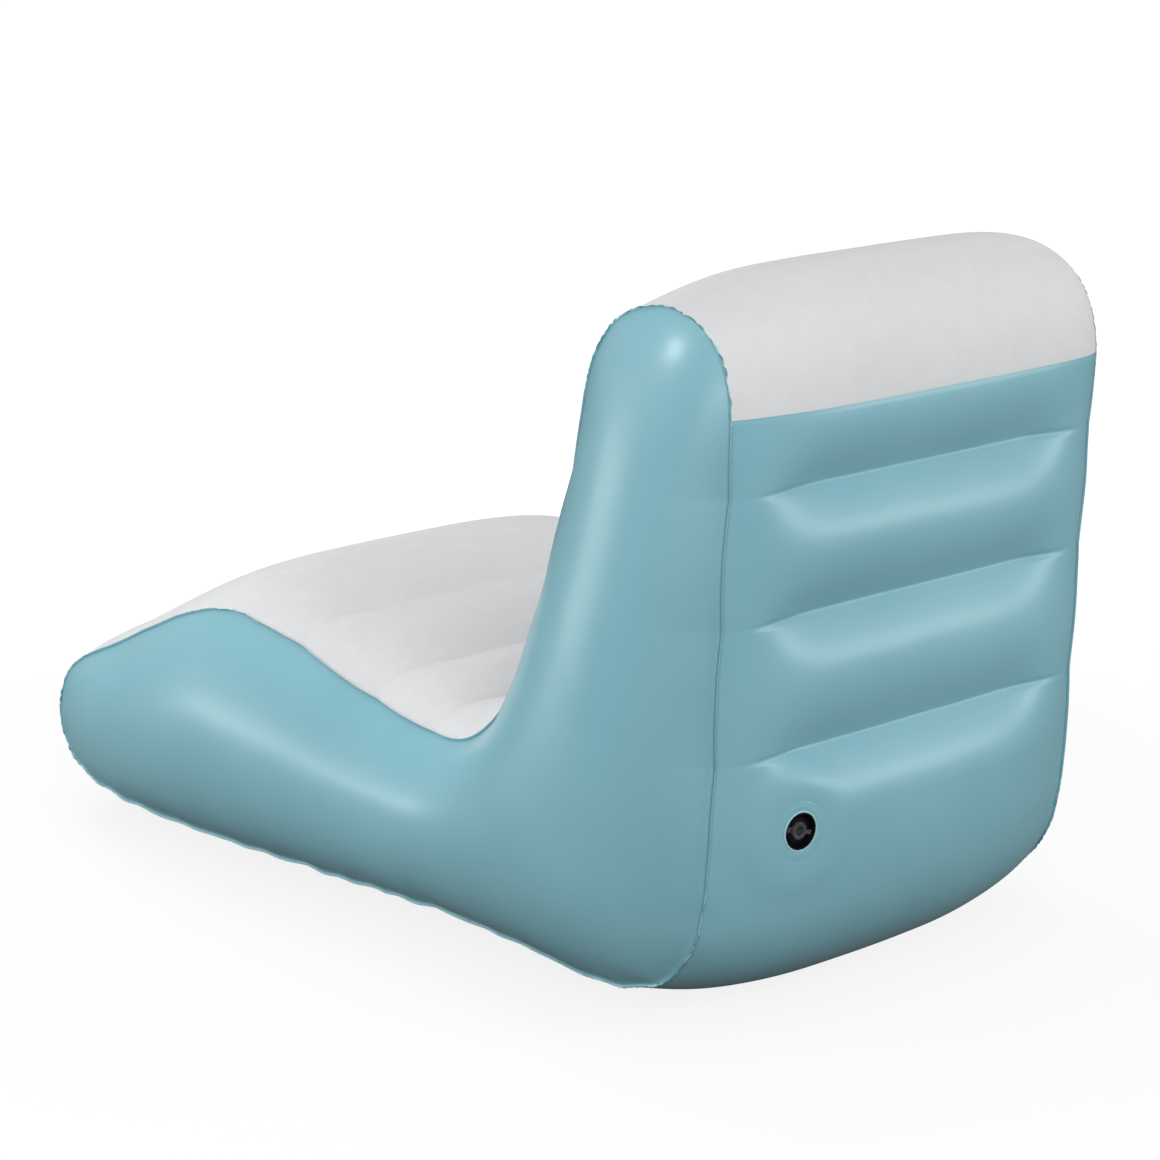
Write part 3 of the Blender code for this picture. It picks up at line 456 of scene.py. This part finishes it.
def filmAcross(name, places, lipScale=1.0, shift=None, cut=None):
    # a film from side to side with its lips; shift moves its points, and cut picks the faces that stay
    shares = acrossShares()
    points = wrapGrid(places, shares)
    if shift is not None:
        points = shift(points, places, shares)
    points, distance = dressWrap(points, places, shares)
    left, right = lipRings(places, 1, 1, lipScale), lipRings(places, -1, 1, lipScale)
    points = np.concatenate([right[:, ::-1], points, left], axis=1)
    free = lipShares(len(places))
    free = np.concatenate([free[:, ::-1], np.zeros(distance.shape), free], axis=1)
    edge = np.zeros((len(places), left.shape[1]))
    distance = np.concatenate([edge, distance, edge], axis=1)
    rows, columns = points.shape[:2]
    faces = gridFaces(rows, columns)
    flat = points.reshape(-1, 3)
    if cut is not None:
        faces = faces[cut(flat[faces].mean(axis=1))]
    bend = seamBend(places)[:, None] * np.ones((1, columns))
    return makeMesh(name, flat, faces.tolist(),
                    {"seamDistance": distance.ravel(), "lipShare": free.ravel(), "seamBend": bend.ravel()})


# the side films: pairs of seam places that each rung of the mesh joins, from the tip to the top
sideFilm = dict(
    rungs=(
        ((0.055, 0.272), (0.055, 0.055)), ((0.169, 0.350), (0.185, 0.026)),
        ((0.297, 0.411), (0.316, 0.025)), ((0.403, 0.382), (0.422, 0.027)),
        ((0.518, 0.329), (0.536, 0.027)), ((0.604, 0.302), (0.650, 0.024)),
        ((0.651, 0.306), (0.790, 0.006)), ((0.676, 0.328), (0.928, 0.041)),
        ((0.696, 0.360), (0.968, 0.159)), ((0.718, 0.414), (0.977, 0.320)),
        ((0.753, 0.543), (0.984, 0.494)), ((0.777, 0.655), (0.990, 0.655)),
        ((0.804, 0.804), (0.999, 0.816)), ((0.815, 0.880), (1.000, 0.872))),
    ridge=0.43, soften=0.030, steps=40,
    rings=(0, 0.014, 0.028, 0.044, 0.062, 0.082, 0.105, 0.13, 0.16, 0.195, 0.235, 0.28, 0.33, 0.385,
           0.445, 0.51, 0.575, 0.64, 0.705, 0.77, 0.835, 0.90, 0.96))

# the skin's fullness: height = bulge * (sqrt(2 * lift + round ** 2) - round)
skin = dict(cell=0.006, margin=3, closest=0.1, rounds=420, bulge=0.965, round=0.080, near=0.020, far=0.040,
            soften=0.012, pinchFade=0.020)


def cubicWeights(part):
    # weights of four neighbours for a smooth reading between the middle two
    return ((-part ** 3 + 2 * part ** 2 - part) / 2, (3 * part ** 3 - 5 * part ** 2 + 2) / 2,
            (-3 * part ** 3 + 4 * part ** 2 + part) / 2, (part ** 3 - part ** 2) / 2)


class Skin:
    # a skin held along the seam line and blown up, solved on a grid of cells

    def __init__(self):
        cell, margin, closest = skin["cell"], skin["margin"], skin["closest"]
        self.low = seam.points.min(axis=0) - margin * cell
        count = np.ceil((seam.points.max(axis=0) - self.low) / cell).astype(int) + margin
        axes = [self.low[axis] + np.arange(count[axis]) * cell for axis in range(2)]
        inside, stiff = np.ones(count, bool), np.zeros(count)
        for axis in range(2):
            for index, level in enumerate(axes[1 - axis]):
                row = (slice(None), index) if axis == 0 else (index, slice(None))
                cuts = self.cuts(axis, level)
                spots = np.searchsorted(cuts, axes[axis])
                inside[row] &= spots % 2 == 1
                if len(cuts):
                    above = (cuts[np.minimum(spots, len(cuts) - 1)] - axes[axis]) / cell
                    below = (axes[axis] - cuts[np.maximum(spots - 1, 0)]) / cell
                    stiff[row] += 1 / np.clip(above, closest, 1) + 1 / np.clip(below, closest, 1)
        self.lift = self.solve(inside, stiff)
        inward = -seam.normals
        first = self.read(seam.points + inward * skin["near"]) / skin["near"]
        second = self.read(seam.points + inward * skin["far"]) / skin["far"]
        bend = (second - first) / (skin["far"] - skin["near"])
        spread = skin["soften"] / seam.length * seamLine["samples"]
        self.slope, self.bend = bell(first - bend * skin["near"], spread), bell(bend, spread)

    def cuts(self, axis, level):
        # where the seam line crosses a grid line
        off = seam.points[:, 1 - axis] - level
        after = np.roll(off, -1)
        hit = np.where((off > 0) != (after > 0))[0]
        share = off[hit] / (off[hit] - after[hit])
        along = seam.points[:, axis]
        return np.sort(along[hit] * (1 - share) + np.roll(along, -1)[hit] * share)

    def solve(self, inside, stiff):
        # lift of a stretched skin under an even pressure, by conjugate gradients
        lift =np.zeros(inside.shape)
        rest = np.where(inside, skin["cell"] ** 2, 0.0)
        way, energy = rest.copy(), (rest ** 2).sum()
        for _ in range(skin["rounds"]):
            pull = stiff * way
            pull[1:] -= way[:-1]
            pull[:-1] -= way[1:]
            pull[:, 1:] -= way[:, :-1]
            pull[:, :-1] -= way[:, 1:]
            pull[~inside] = 0
            step = energy / (way * pull).sum()
            lift += step * way
            rest -= step * pull
            left = (rest ** 2).sum()
            way, energy = rest + left / energy * way, left
        return lift

    def read(self, points):
        spot = (points - self.low) / skin["cell"]
        base = np.floor(spot).astype(int)
        columns, rows = (cubicWeights((spot - base)[..., axis]) for axis in range(2))
        return sum(columns[i] * rows[j] * self.lift[base[..., 0] + i - 1, base[..., 1] + j - 1]
                   for i in range(4) for j in range(4))

    def height(self, places, points, away):
        # away is how far each point lies inside the seam line
        close = (seam.read(self.slope, places) + seam.read(self.bend, places) * away) * away
        share = smoothStep((away - skin["near"]) / (skin["far"] - skin["near"]))
        lift = close + (self.read(points) - close) * share
        return skin["bulge"] * (np.sqrt(2 * np.maximum(lift, 0) + skin["round"] ** 2) - skin["round"])


class Ridge:
    # the middle line of a side film's mesh, and which of its places each place on the seam belongs to

    def __init__(self):
        look = sideFilm
        upper = np.array([seam.place(top) for top, _ in look["rungs"]])
        lower = np.array([seam.place(bottom) for _, bottom in look["rungs"]])
        self.top = (upper[-1] + lower[-1]) / 2
        start, end = seam.read(seam.points, upper), seam.read(seam.points, lower)
        self.curve = roundCurve(start + (end - start) * look["ridge"], False, look["steps"])
        run = np.arange(seamLine["samples"]) * seam.length / seamLine["samples"]
        rungs = np.arange(len(upper))
        samples = np.where(run <= self.top, np.interp(run, upper, rungs),
                           np.interp(run, lower[::-1], rungs[::-1]))
        self.rungs = bell(samples, look["soften"] / seam.length * seamLine["samples"])

    def read(self, places):
        # the upper limit stays just inside the curve's last step
        spot = np.clip(seam.read(self.rungs, places) * sideFilm["steps"], 0, len(self.curve) - 1.001)
        low = spot.astype(int)
        return self.curve[low] + (self.curve[low + 1] - self.curve[low]) * (spot - low)[:, None]


def stitch(first, second):
    # triangles between two chains of (order, point) that share both ends
    faces = []
    a = b = 0
    while a < len(first) - 1 or b < len(second) - 1:
        nextA = first[a + 1][0] if a < len(first) - 1 else math.inf
        nextB = second[b + 1][0] if b < len(second) - 1 else math.inf
        if nextA <= nextB:
            face = (first[a][1], first[a + 1][1], second[b][1])
            a += 1
        else:
            face = (first[a][1], second[b + 1][1], second[b][1])
            b += 1
        if len(set(face)) == 3:
            faces.append(face)
    return faces


blownSkin, ridge = Skin(), Ridge()


def sideFilmPiece(name, side, places):
    # rings from the seam in to the ridge, closed there by a strip of triangles
    count = len(places)
    line, outward = seam.read(seam.points, places), seam.read(seam.normals, places)
    start = line - outward * film["lipOffset"]
    rings = np.array(sideFilm["rings"])
    points = np.empty((len(rings), count, 3))
    points[..., 1:] = start + (ridge.read(places) - start) * rings[:, None, None]
    away = ((start - points[..., 1:]) * outward).sum(axis=2)
    height = blownSkin.height(places, points[..., 1:], away)
    pinched = seamLine["pinch"] * seam.valley(places) * np.exp(-away / skin["pinchFade"])
    points[..., 0] = side * (halfSeam + film["lipOffset"] + height - pinched)
    distance = np.hypot(np.linalg.norm(points[..., 1:] - start, axis=2), height)
    closed = np.concatenate([points[:, -1:], points, points[:, :1]], axis=1)
    normals = gridNormals(closed)[:, 1:-1]
    normals *= np.sign(normals[..., :1] * side)
    depth = seamGathers[side].fold(places, distance.T).T
    fade = np.exp(-distance / gathers["waveFade"])
    points += seamShift(places, side)[None] * fade[..., None]
    settled = smoothStep(distance / ripple["reach"])
    points += normals * (rippleHeight(points) * settled - depth)[..., None]
    lips = lipRings(places, side, -1).transpose(1, 0, 2)[::-1]
    points = np.concatenate([lips, points])
    free = np.concatenate([lipShares(count).T[::-1], np.zeros(distance.shape)])
    distance = np.concatenate([np.zeros((len(lips), count)), distance])
    total = len(points)
    low = np.arange(total - 1)[:, None] * count + np.arange(count)[None, :]
    ahead = np.arange(total - 1)[:, None] * count + (np.arange(count) + 1)[None, :] % count
    faces = np.stack([low, ahead, ahead + count, low + count], axis=-1).reshape(-1, 4).tolist()
    last = (total - 1) * count
    away = np.minimum(places % seam.length, -places % seam.length)
    tip, top = int(np.argmin(away)), int(np.argmin(np.abs(places - ridge.top)))
    rungAt = seam.read(ridge.rungs, places)
    halves = [[(tip + step) % count for step in range((top - tip) % count + 1)],
              [(tip - step) % count for step in range((tip - top) % count + 1)]]
    chains = []
    for half in halves:
        # a slight rise keeps the order strict where the rungs repeat
        order = np.maximum.accumulate(rungAt[half]) + np.linspace(0, 0.001, len(half))
        order[0], order[-1] = -1, len(sideFilm["rungs"]) + 1
        chains.append([(value, last + index) for value, index in zip(order, half)])
    faces += stitch(*chains)
    if side > 0:
        faces = [face[::-1] for face in faces]
    return makeMesh(name, points.reshape(-1, 3), faces,
                    {"seamDistance": distance.ravel(), "lipShare": free.ravel(),
                     "seamBend": np.tile(seamBend(places), total)})


# materials

class Socket:
    # a shader socket that takes part in sums

    def __init__(self, nodes, link):
        self.nodes, self.link = nodes, link

    def sum(self, operation, *values):
        return self.nodes.node("ShaderNodeMath", dict(enumerate(values)), operation=operation)

    def __add__(self, other):
        return self.sum("ADD", self, other)

    def __mul__(self, other):
        return self.sum("MULTIPLY", self, other)


class Nodes:
    # the nodes of one material or of the world

    def __init__(self, tree):
        self.tree = tree

    def node(self, kind, values, out=0, **settings):
        made = self.tree.nodes.new(kind)
        for key, value in settings.items():
            setattr(made, key, value)
        for key, value in values.items():
            self.feed(made.inputs[key], value)
        return Socket(self, made.outputs[out])

    def feed(self, socket, value):
        if isinstance(value, Socket):
            self.tree.links.new(value.link, socket)
        else:
            socket.default_value = value

    def backdropShare(self, glossShare):
        # 1 where the camera or a see-through film looks at it, less in a reflection
        camera = self.node("ShaderNodeLightPath", {}, out="Is Camera Ray")
        glossy = self.node("ShaderNodeLightPath", {}, out="Is Glossy Ray")
        through = self.node("ShaderNodeLightPath", {}, out="Is Transmission Ray")
        return camera + glossy * glossShare + through


class Finish(Nodes):
    # one procedural material

    def __init__(self, name, slot):
        self.material = bpy.data.materials.new(name)
        self.material.use_nodes = True
        super().__init__(self.material.node_tree)
        self.shader = self.tree.nodes["Principled BSDF"]
        self.output = self.tree.nodes["Material Output"]
        self.slot = slot

    def set(self, **values):
        for key, value in values.items():
            self.feed(self.shader.inputs[key.replace("_", " ")], value)

    def fix(self, values):
        # constants of the shader that no node feeds
        for key, value in values.items():
            self.shader.inputs[key].default_value = value

    def place(self):
        return self.node("ShaderNodeTexCoord", {}, out="Object")

    def noise(self, where, scale, detail=2.0, roughness=0.5):
        return self.node("ShaderNodeTexNoise", {"Vector": where, "Scale": scale, "Detail": detail,
                                                "Roughness": roughness}, out="Fac")

    def mix(self, share, first, second):
        return self.node("ShaderNodeMix", {0: share, 6: first, 7: second}, out=2, data_type="RGBA")

    def bump(self, height, strength, distance):
        values = {"Height": height, "Strength": strength, "Distance": distance}
        return self.node("ShaderNodeBump", values, out="Normal")

    def attribute(self, name):
        return self.node("ShaderNodeAttribute", {}, out="Fac", attribute_name=name)

    def ranged(self, value, low, high, start=0.0, end=1.0):
        values = {"Value": value, "From Min": low, "From Max": high, "To Min": start, "To Max": end}
        return self.node("ShaderNodeMapRange", values, interpolation_type="SMOOTHSTEP")


def paint(piece, finish):
    piece.data.materials.clear()
    piece.data.materials.append(finish.material)


# a noise is given as its scale and detail, and the nap and the mottle also by their roughness
tealPvc = dict(
    colour=(0.214, 0.462, 0.533, 1), pale=(0.229, 0.484, 0.555, 1), cloud=(5.5, 3), cloudSpread=(0.35, 0.7),
    # the weld colour is painted shade for the crevice along each seam, and it fades out a few millimetres
    # from the seam
    weld=(0.10, 0.31, 0.37, 1), creviceShadeReach=0.0035, creviceShadeShare=0.45,
    # the lips' free edges are painted: the dark colour is painted shade, and the edge colour is painted
    # glints, mixed in dashes
    dashShade=(0.07, 0.25, 0.31, 1), edge=(0.50, 0.75, 0.80, 1), edgeSpread=(0.2, 0.8), lipGlintShadeShare=0.85,
    dashes=(95, 1), dashSpread=(0.44, 0.58), plainDash=0.5,
    roughness=0.345, cloudRough=0.10, grain=(620, 2), grainRough=0.05, bump=(0.05, 0.0004),
    gloss={"Coat Weight": 0.5, "Coat Roughness": 0.26, "Specular IOR Level": 0.42})


def makeTeal():
    look = tealPvc
    finish = Finish("tealPvcFilm", "teal_film")
    where = finish.place()
    cloud = finish.noise(where, *look["cloud"])
    grain = finish.noise(where, *look["grain"])
    # mask of the painted crevice shade next to each weld: 1 at the seam and 0 a few millimetres away
    near = finish.ranged(finish.attribute("seamDistance"), 0.0, look["creviceShadeReach"], 1, 0)
    free = finish.ranged(finish.attribute("lipShare"), *look["edgeSpread"])
    colour = finish.mix(finish.ranged(cloud, *look["cloudSpread"]), look["colour"], look["pale"])
    colour = finish.mix(near * look["creviceShadeShare"], colour, look["weld"])
    # the free edge is painted with dashes of shade and glint where the seam bends, and with an even painted
    # light line where it runs straight
    bend, plain = finish.attribute("seamBend"), look["plainDash"]
    dash = finish.ranged(finish.noise(where, *look["dashes"]), *look["dashSpread"])
    dash = dash * bend + (bend * -plain + plain)
    colour = finish.mix(free * look["lipGlintShadeShare"], colour, finish.mix(dash, look["dashShade"], look["edge"]))
    rough = cloud * look["cloudRough"] + grain * look["grainRough"] + look["roughness"]
    finish.set(Base_Color=colour, Roughness=rough, Normal=finish.bump(grain, *look["bump"]))
    finish.fix(look["gloss"])
    return finish


paleFlock = dict(
    colour=(0.690, 0.697, 0.709, 1), soft=(0.662, 0.670, 0.682, 1),
    mottle=(38, 4, 0.6), mottleSpread=(0.3, 0.75),
    warm=(0.690, 0.690, 0.694, 1), cloud=(4.0, 2), cloudSpread=(0.4, 0.75), warmShare=0.5,
    nap=(900, 3, 0.65), roughness=0.74, napRough=0.08, napHeight=0.7, mottleHeight=0.3, bump=(0.16, 0.0005),
    sheen={"Sheen Weight": 0.12, "Sheen Roughness": 0.5})


def makePale():
    look = paleFlock
    finish = Finish("paleFlockedFilm", "pale_cover")
    where = finish.place()
    mottle = finish.noise(where, *look["mottle"])
    cloud = finish.noise(where, *look["cloud"])
    nap = finish.noise(where, *look["nap"])
    colour = finish.mix(finish.ranged(mottle, *look["mottleSpread"]), look["soft"], look["colour"])
    warm = finish.ranged(cloud, *look["cloudSpread"]) * look["warmShare"]
    colour = finish.mix(warm, colour, look["warm"])
    height = nap * look["napHeight"] + mottle * look["mottleHeight"]
    finish.set(Base_Color=colour, Roughness=nap * look["napRough"] + look["roughness"],
               Normal=finish.bump(height, *look["bump"]))
    finish.fix(look["sheen"])
    return finish


clearPvc = dict(colour=(0.50, 0.62, 0.64, 1), pale=(0.60, 0.70, 0.72, 1), cloud=(9.0, 3), roughness=0.35,
                cloudRough=0.1, alpha=0.5, cloudAlpha=0.1)


def makeClear():
    look = clearPvc
    finish = Finish("clearWebFilm", "clear_web")
    cloud = finish.noise(finish.place(), *look["cloud"])
    finish.set(Base_Color=finish.mix(cloud, look["colour"], look["pale"]),
               Roughness=cloud * look["cloudRough"] + look["roughness"],
               Alpha=cloud * look["cloudAlpha"] + look["alpha"])
    return finish


softRing = dict(colour=(0.33, 0.57, 0.63, 1), worn=(0.41, 0.64, 0.69, 1), cloud=(60.0, 3),
                roughness=0.34, cloudRough=0.12, grain=(1400.0, 2), bump=(0.05, 0.0003))
blackPart = dict(colour=(0.004, 0.004, 0.006, 1), worn=(0.008, 0.008, 0.010, 1), cloud=(110.0, 4),
                 roughness=0.32, cloudRough=0.16, grain=(2600.0, 2), bump=(0.12, 0.0002),
                 gloss={"Specular IOR Level": 0.2})
rubber = dict(colour=(0.042, 0.042, 0.049, 1), worn=(0.095, 0.092, 0.108, 1), cloud=(150.0, 4),
              cloudSpread=(0.4, 0.8), roughness=0.33, cloudRough=0.2, grain=(2000.0, 3),
              bump=(0.2, 0.0002))


def makeMoulded(name, slot, look):
    # the finish of the valve's moulded pieces
    finish = Finish(name, slot)
    where = finish.place()
    cloud = finish.noise(where, *look["cloud"])
    grain = finish.noise(where, *look["grain"])
    worn = finish.ranged(cloud, *look["cloudSpread"]) if "cloudSpread" in look else cloud
    finish.set(Base_Color=finish.mix(worn, look["colour"], look["worn"]),
               Roughness=cloud * look["cloudRough"] + look["roughness"],
               Normal=finish.bump(grain, *look["bump"]))
    finish.fix(look.get("gloss", {}))
    return finish


teal, pale, clear = makeTeal(), makePale(), makeClear()
ringFinish = makeMoulded("softValveRing", "collar_plastic", softRing)
black = makeMoulded("mouldedBlack", "black_plastic", blackPart)
soft = makeMoulded("softBlackRubber", "black_rubber", rubber)
print("chair: finishes made")


# the valve's place on the back, and how the film round it is levelled and cut
valve = dict(offset=0.2050, height=0.2460, flat=0.0360, level=(0.036, 0.095), levelDepth=0.05,
             hole=0.0268, holeDepth=0.02)


def valveFrame():
    down = np.linspace(coverBack, seam.webs[0][1], seamLine["samples"])
    heights = np.abs(seam.read(seam.points, down)[:, 1] - valve["height"])
    place = down[np.argmin(heights)]
    share, reach, flat = valve["offset"] / halfSeam, valve["flat"] / halfSeam, valve["flat"]
    up = wrapGrid(np.array([place - flat, place + flat]), np.array([share]))[:, 0]
    right = wrapGrid(np.array([place]), np.array([share - reach, share + reach]))[0]
    up = Vector(up[0] - up[1]).normalized()
    right = Vector(right[0] - right[1])
    right = (right - up * right.dot(up)).normalized()
    made = Matrix((right, up, right.cross(up))).transposed().to_4x4()
    made.translation = Vector(wrapGrid(np.array([place]), np.array([share]))[0, 0])
    return made


valveAt = valveFrame()
valveIn = np.array(valveAt.inverted())
valveOut = np.array(valveAt)


def levelAtValve(points, places, shares):
    # tuck the film's ends under the cover, and bring it into the valve's plane
    end = coverFront + seam.length
    under = np.maximum(coverBack + film["lapRise"] - places, places - end + film["lapRise"])
    tucked = smoothStep(under / film["lapRise"]) * (film["thick"] + film["gap"])
    outward = seam.read(seam.normals, places)
    points[..., 1:] -= (outward * tucked[:, None])[:, None, :] * (np.abs(shares) < 1)[None, :, None]
    local = points @ valveIn[:3, :3].T + valveIn[:3, 3]
    reach = np.hypot(local[..., 0], local[..., 1])
    near, far = valve["level"]
    close = np.abs(local[..., 2]) < valve["levelDepth"]
    local[..., 2] *= np.where(close, smoothStep((reach - near) / (far - near)), 1)
    return local @ valveOut[:3, :3].T + valveOut[:3, 3]


def outsideHole(centres):
    local = centres @ valveIn[:3, :3].T + valveIn[:3, 3]
    aside = np.hypot(local[:, 0], local[:, 1]) > valve["hole"]
    return aside | (np.abs(local[:, 2]) > valve["holeDepth"])


# films
end = coverFront + seam.length
coverRows = rowPlaces(coverFront, coverBack, seam.valleys)
shellStops = np.concatenate([seam.valleys, seam.valleys + seam.length])
shellRows = rowPlaces(coverBack - film["lap"], end + film["lap"], shellStops)
cover = filmAcross("paleCoverFilm", coverRows, lipScale=lip["coverScale"])
shell = filmAcross("backAndBaseFilm", shellRows, shift=levelAtValve, cut=outsideHole)
betweenRows = shellRows[(shellRows > coverBack) & (shellRows < end)]
sideRows = np.concatenate([coverRows, betweenRows])
sides = [sideFilmPiece("sideFilmLeft", 1, sideRows), sideFilmPiece("sideFilmRight", -1, sideRows)]
for piece, finish, node in ((cover, pale, "seat_cover"), (shell, teal, "back_base_panel"),
                            (sides[0], teal, "side_panel_left"), (sides[1], teal, "side_panel_right")):
    paint(piece, finish)
    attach(piece, "chair")
    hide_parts(node)
print("chair: films made,", sum(len(piece.data.vertices) for piece in (cover, shell, *sides)), "points")


# the round weld that holds the valve's flange to the film
patch = dict(inner=0.0238, outer=0.0352, thick=0.0004, weld=(0.0312, 0.0334), groove=0.00012, under=0.0004,
             round=0.0001, innerRound=0.0002, weldSlope=0.0005, rim=(0.0006, 0.0003), segments=128, sharp=38)


def makePatch():
    # a closed ring turned round the valve's axis; rings are (radius, height)
    inner, outer, top, segments = (patch[key] for key in ("inner", "outer", "thick", "segments"))
    under, edge, slope = -patch["under"], patch["round"], patch["weldSlope"]
    weldIn, weldOut = patch["weld"]
    rimIn, rimDown = patch["rim"]
    low = top - patch["groove"]
    rings = [(inner, under), (inner, top - edge), (inner + patch["innerRound"], top), (weldIn - slope, top),
             (weldIn, low), (weldOut - slope, low), (weldOut, top - edge), (outer - rimIn, top - rimDown),
             (outer, -edge), (outer, under)]
    points = np.array([(radius * math.cos(2 * math.pi * step / segments),
                        radius * math.sin(2 * math.pi * step / segments), height)
                       for radius, height in rings for step in range(segments)])
    points = points @ valveOut[:3, :3].T + valveOut[:3, 3]
    faces = []
    for ring in range(len(rings)):
        first, second = ring * segments, (ring + 1) % len(rings) * segments
        for step in range(segments):
            after = (step + 1) % segments
            faces.append((first + step, first + after, second + after, second + step))
    # the finish paints shade near a seam, and the patch is far from one
    piece = makeMesh("valveWeldPatch", points, faces, {"seamDistance": np.ones(len(points))})
    piece.data.set_sharp_from_angle(angle=math.radians(patch["sharp"]))
    paint(piece, teal)
    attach(piece, "chair")


makePatch()
for name, finish in (("valve_collar", ringFinish), ("valve_cup", black), ("valve_core", black),
                     ("core_gasket", soft), ("check_flap", soft), ("stopper", soft),
                     *((f"seat_beam_{count}", clear) for count in (1, 2, 3)),
                     *((f"back_beam_{count}", clear) for count in (1, 2, 3))):
    paint(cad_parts[name], finish)
print("chair: valve made")


# stage, lamps and camera
stage = dict(floor=(0.14, 0.14, 0.14, 1), size=30.0, glow=(0.85, 1.0), glowReach=(0.9, 2.2), glossShare=0.05)
lamps = (
    dict(name="leftStrip", azimuth=51, elevation=-1, distance=3.3, size=(1.6, 0.5), power=12),
    dict(name="leftFill", azimuth=50, elevation=5, distance=3.3, size=(1.8, 1.0), power=34, gloss=False),
    dict(name="rightStrip", azimuth=218.5, elevation=3, distance=3.4, size=(1.15, 0.6), power=9),
    dict(name="rightFill", azimuth=222, elevation=12, distance=3.3, size=(1.6, 1.0), power=29, gloss=False),
    dict(name="frontFill", azimuth=137, elevation=20, distance=3.8, size=(2.6, 1.8), power=68, gloss=False),
    dict(name="seatFill", azimuth=350, elevation=42, distance=3.2, size=(1.6, 1.2), power=34, gloss=False),
    dict(name="frontSheen", azimuth=137, elevation=9, distance=3.8, size=(2.6, 1.0), power=22, fill=False),
    dict(name="ceiling", azimuth=137, elevation=85, distance=3.6, size=(2.6, 2.6), power=27),
    dict(name="catchLight", azimuth=97.3, elevation=36.5, distance=1.45, size=(0.2, 0.2), power=2.9,
         fill=False))
lampAim = (0, 0.05, 0.42)
worldLight = 0.35
white = (1, 1, 1, 1)
camera = dict(aim=(0, 0.667, 0.368), azimuth=135, elevation=13.3, distance=4.7, lens=114.83, sensor=36)


def makeFloor():
    size = stage["size"]
    corners = [(-size, -size, 0), (size, -size, 0), (size, size, 0), (-size, size, 0)]
    mesh = bpy.data.meshes.new("floor")
    mesh.from_pydata(corners, [], [(0, 1, 2, 3)])
    floor = bpy.data.objects.new("floor", mesh)
    bpy.context.scene.collection.objects.link(floor)
    finish = Finish("floorPaint", "")
    matt = finish.node("ShaderNodeBsdfDiffuse", {"Color": stage["floor"]})
    away = finish.node("ShaderNodeVectorMath", {0: finish.place()}, out="Value", operation="LENGTH")
    strength = finish.ranged(away, *stage["glowReach"], *stage["glow"])
    strength = strength * finish.backdropShare(stage["glossShare"])
    glow = finish.node("ShaderNodeEmission", {"Color": white, "Strength": strength})
    shown = finish.node("ShaderNodeAddShader", {0: matt, 1: glow})
    finish.tree.links.new(shown.link, finish.output.inputs["Surface"])
    floor.data.materials.append(finish.material)


def makeWorld():
    world = bpy.data.worlds.new("studio")
    bpy.context.scene.world = world
    world.use_nodes = True
    sky = Nodes(world.node_tree)
    sky.tree.nodes.remove(sky.tree.nodes["Background"])
    lit = sky.node("ShaderNodeBackground", {"Color": white, "Strength": worldLight})
    seen = sky.node("ShaderNodeBackground", {"Color": white, "Strength": 1.0})
    shown = sky.node("ShaderNodeMixShader", {0: sky.backdropShare(stage["glossShare"]), 1: lit, 2: seen})
    sky.tree.links.new(shown.link, sky.tree.nodes["World Output"].inputs["Surface"])


def outFrom(azimuth, elevation):
    # direction from the chair to a lamp or the camera; azimuth 90 is towards +X
    azimuth, elevation = math.radians(azimuth), math.radians(elevation)
    return Vector((math.sin(azimuth) * math.cos(elevation), -math.cos(azimuth) * math.cos(elevation),
                   math.sin(elevation)))


def makeLamps():
    for look in lamps:
        data = bpy.data.lights.new(look["name"], "AREA")
        data.shape = "RECTANGLE"
        data.size, data.size_y = look["size"]
        data.energy = look["power"]
        lamp = bpy.data.objects.new(look["name"], data)
        back = outFrom(look["azimuth"], look["elevation"])
        lamp.location = Vector(lampAim) + back * look["distance"]
        lamp.rotation_euler = (-back).to_track_quat("-Z", "Y").to_euler()
        lamp.visible_diffuse = look.get("fill", True)
        lamp.visible_glossy = look.get("gloss", True)
        lamp.visible_camera = False
        bpy.context.scene.collection.objects.link(lamp)


def makeCamera():
    # the camera is given for the chair before it was settled on the floor, so it takes the same turn and move
    back = outFrom(camera["azimuth"], camera["elevation"])
    turn = Matrix.Identity(4)
    turn[1][1], turn[1][2] = seam.turn[0]
    turn[2][1], turn[2][2] = seam.turn[1]
    move = Matrix.Translation((0, *seam.shift)) @ turn
    data = bpy.data.cameras.new("photoCamera")
    data.lens, data.sensor_width = camera["lens"], camera["sensor"]
    eye = bpy.data.objects.new("photoCamera", data)
    spot = Matrix.Translation(Vector(camera["aim"]) + back * camera["distance"])
    eye.matrix_world = move @ spot @ (-back).to_track_quat("-Z", "Y").to_matrix().to_4x4()
    bpy.context.scene.collection.objects.link(eye)
    bpy.context.scene.camera = eye


makeFloor()
makeWorld()
makeLamps()
makeCamera()
bpy.context.scene.view_settings.view_transform = "Standard"
print("chair: stage set")
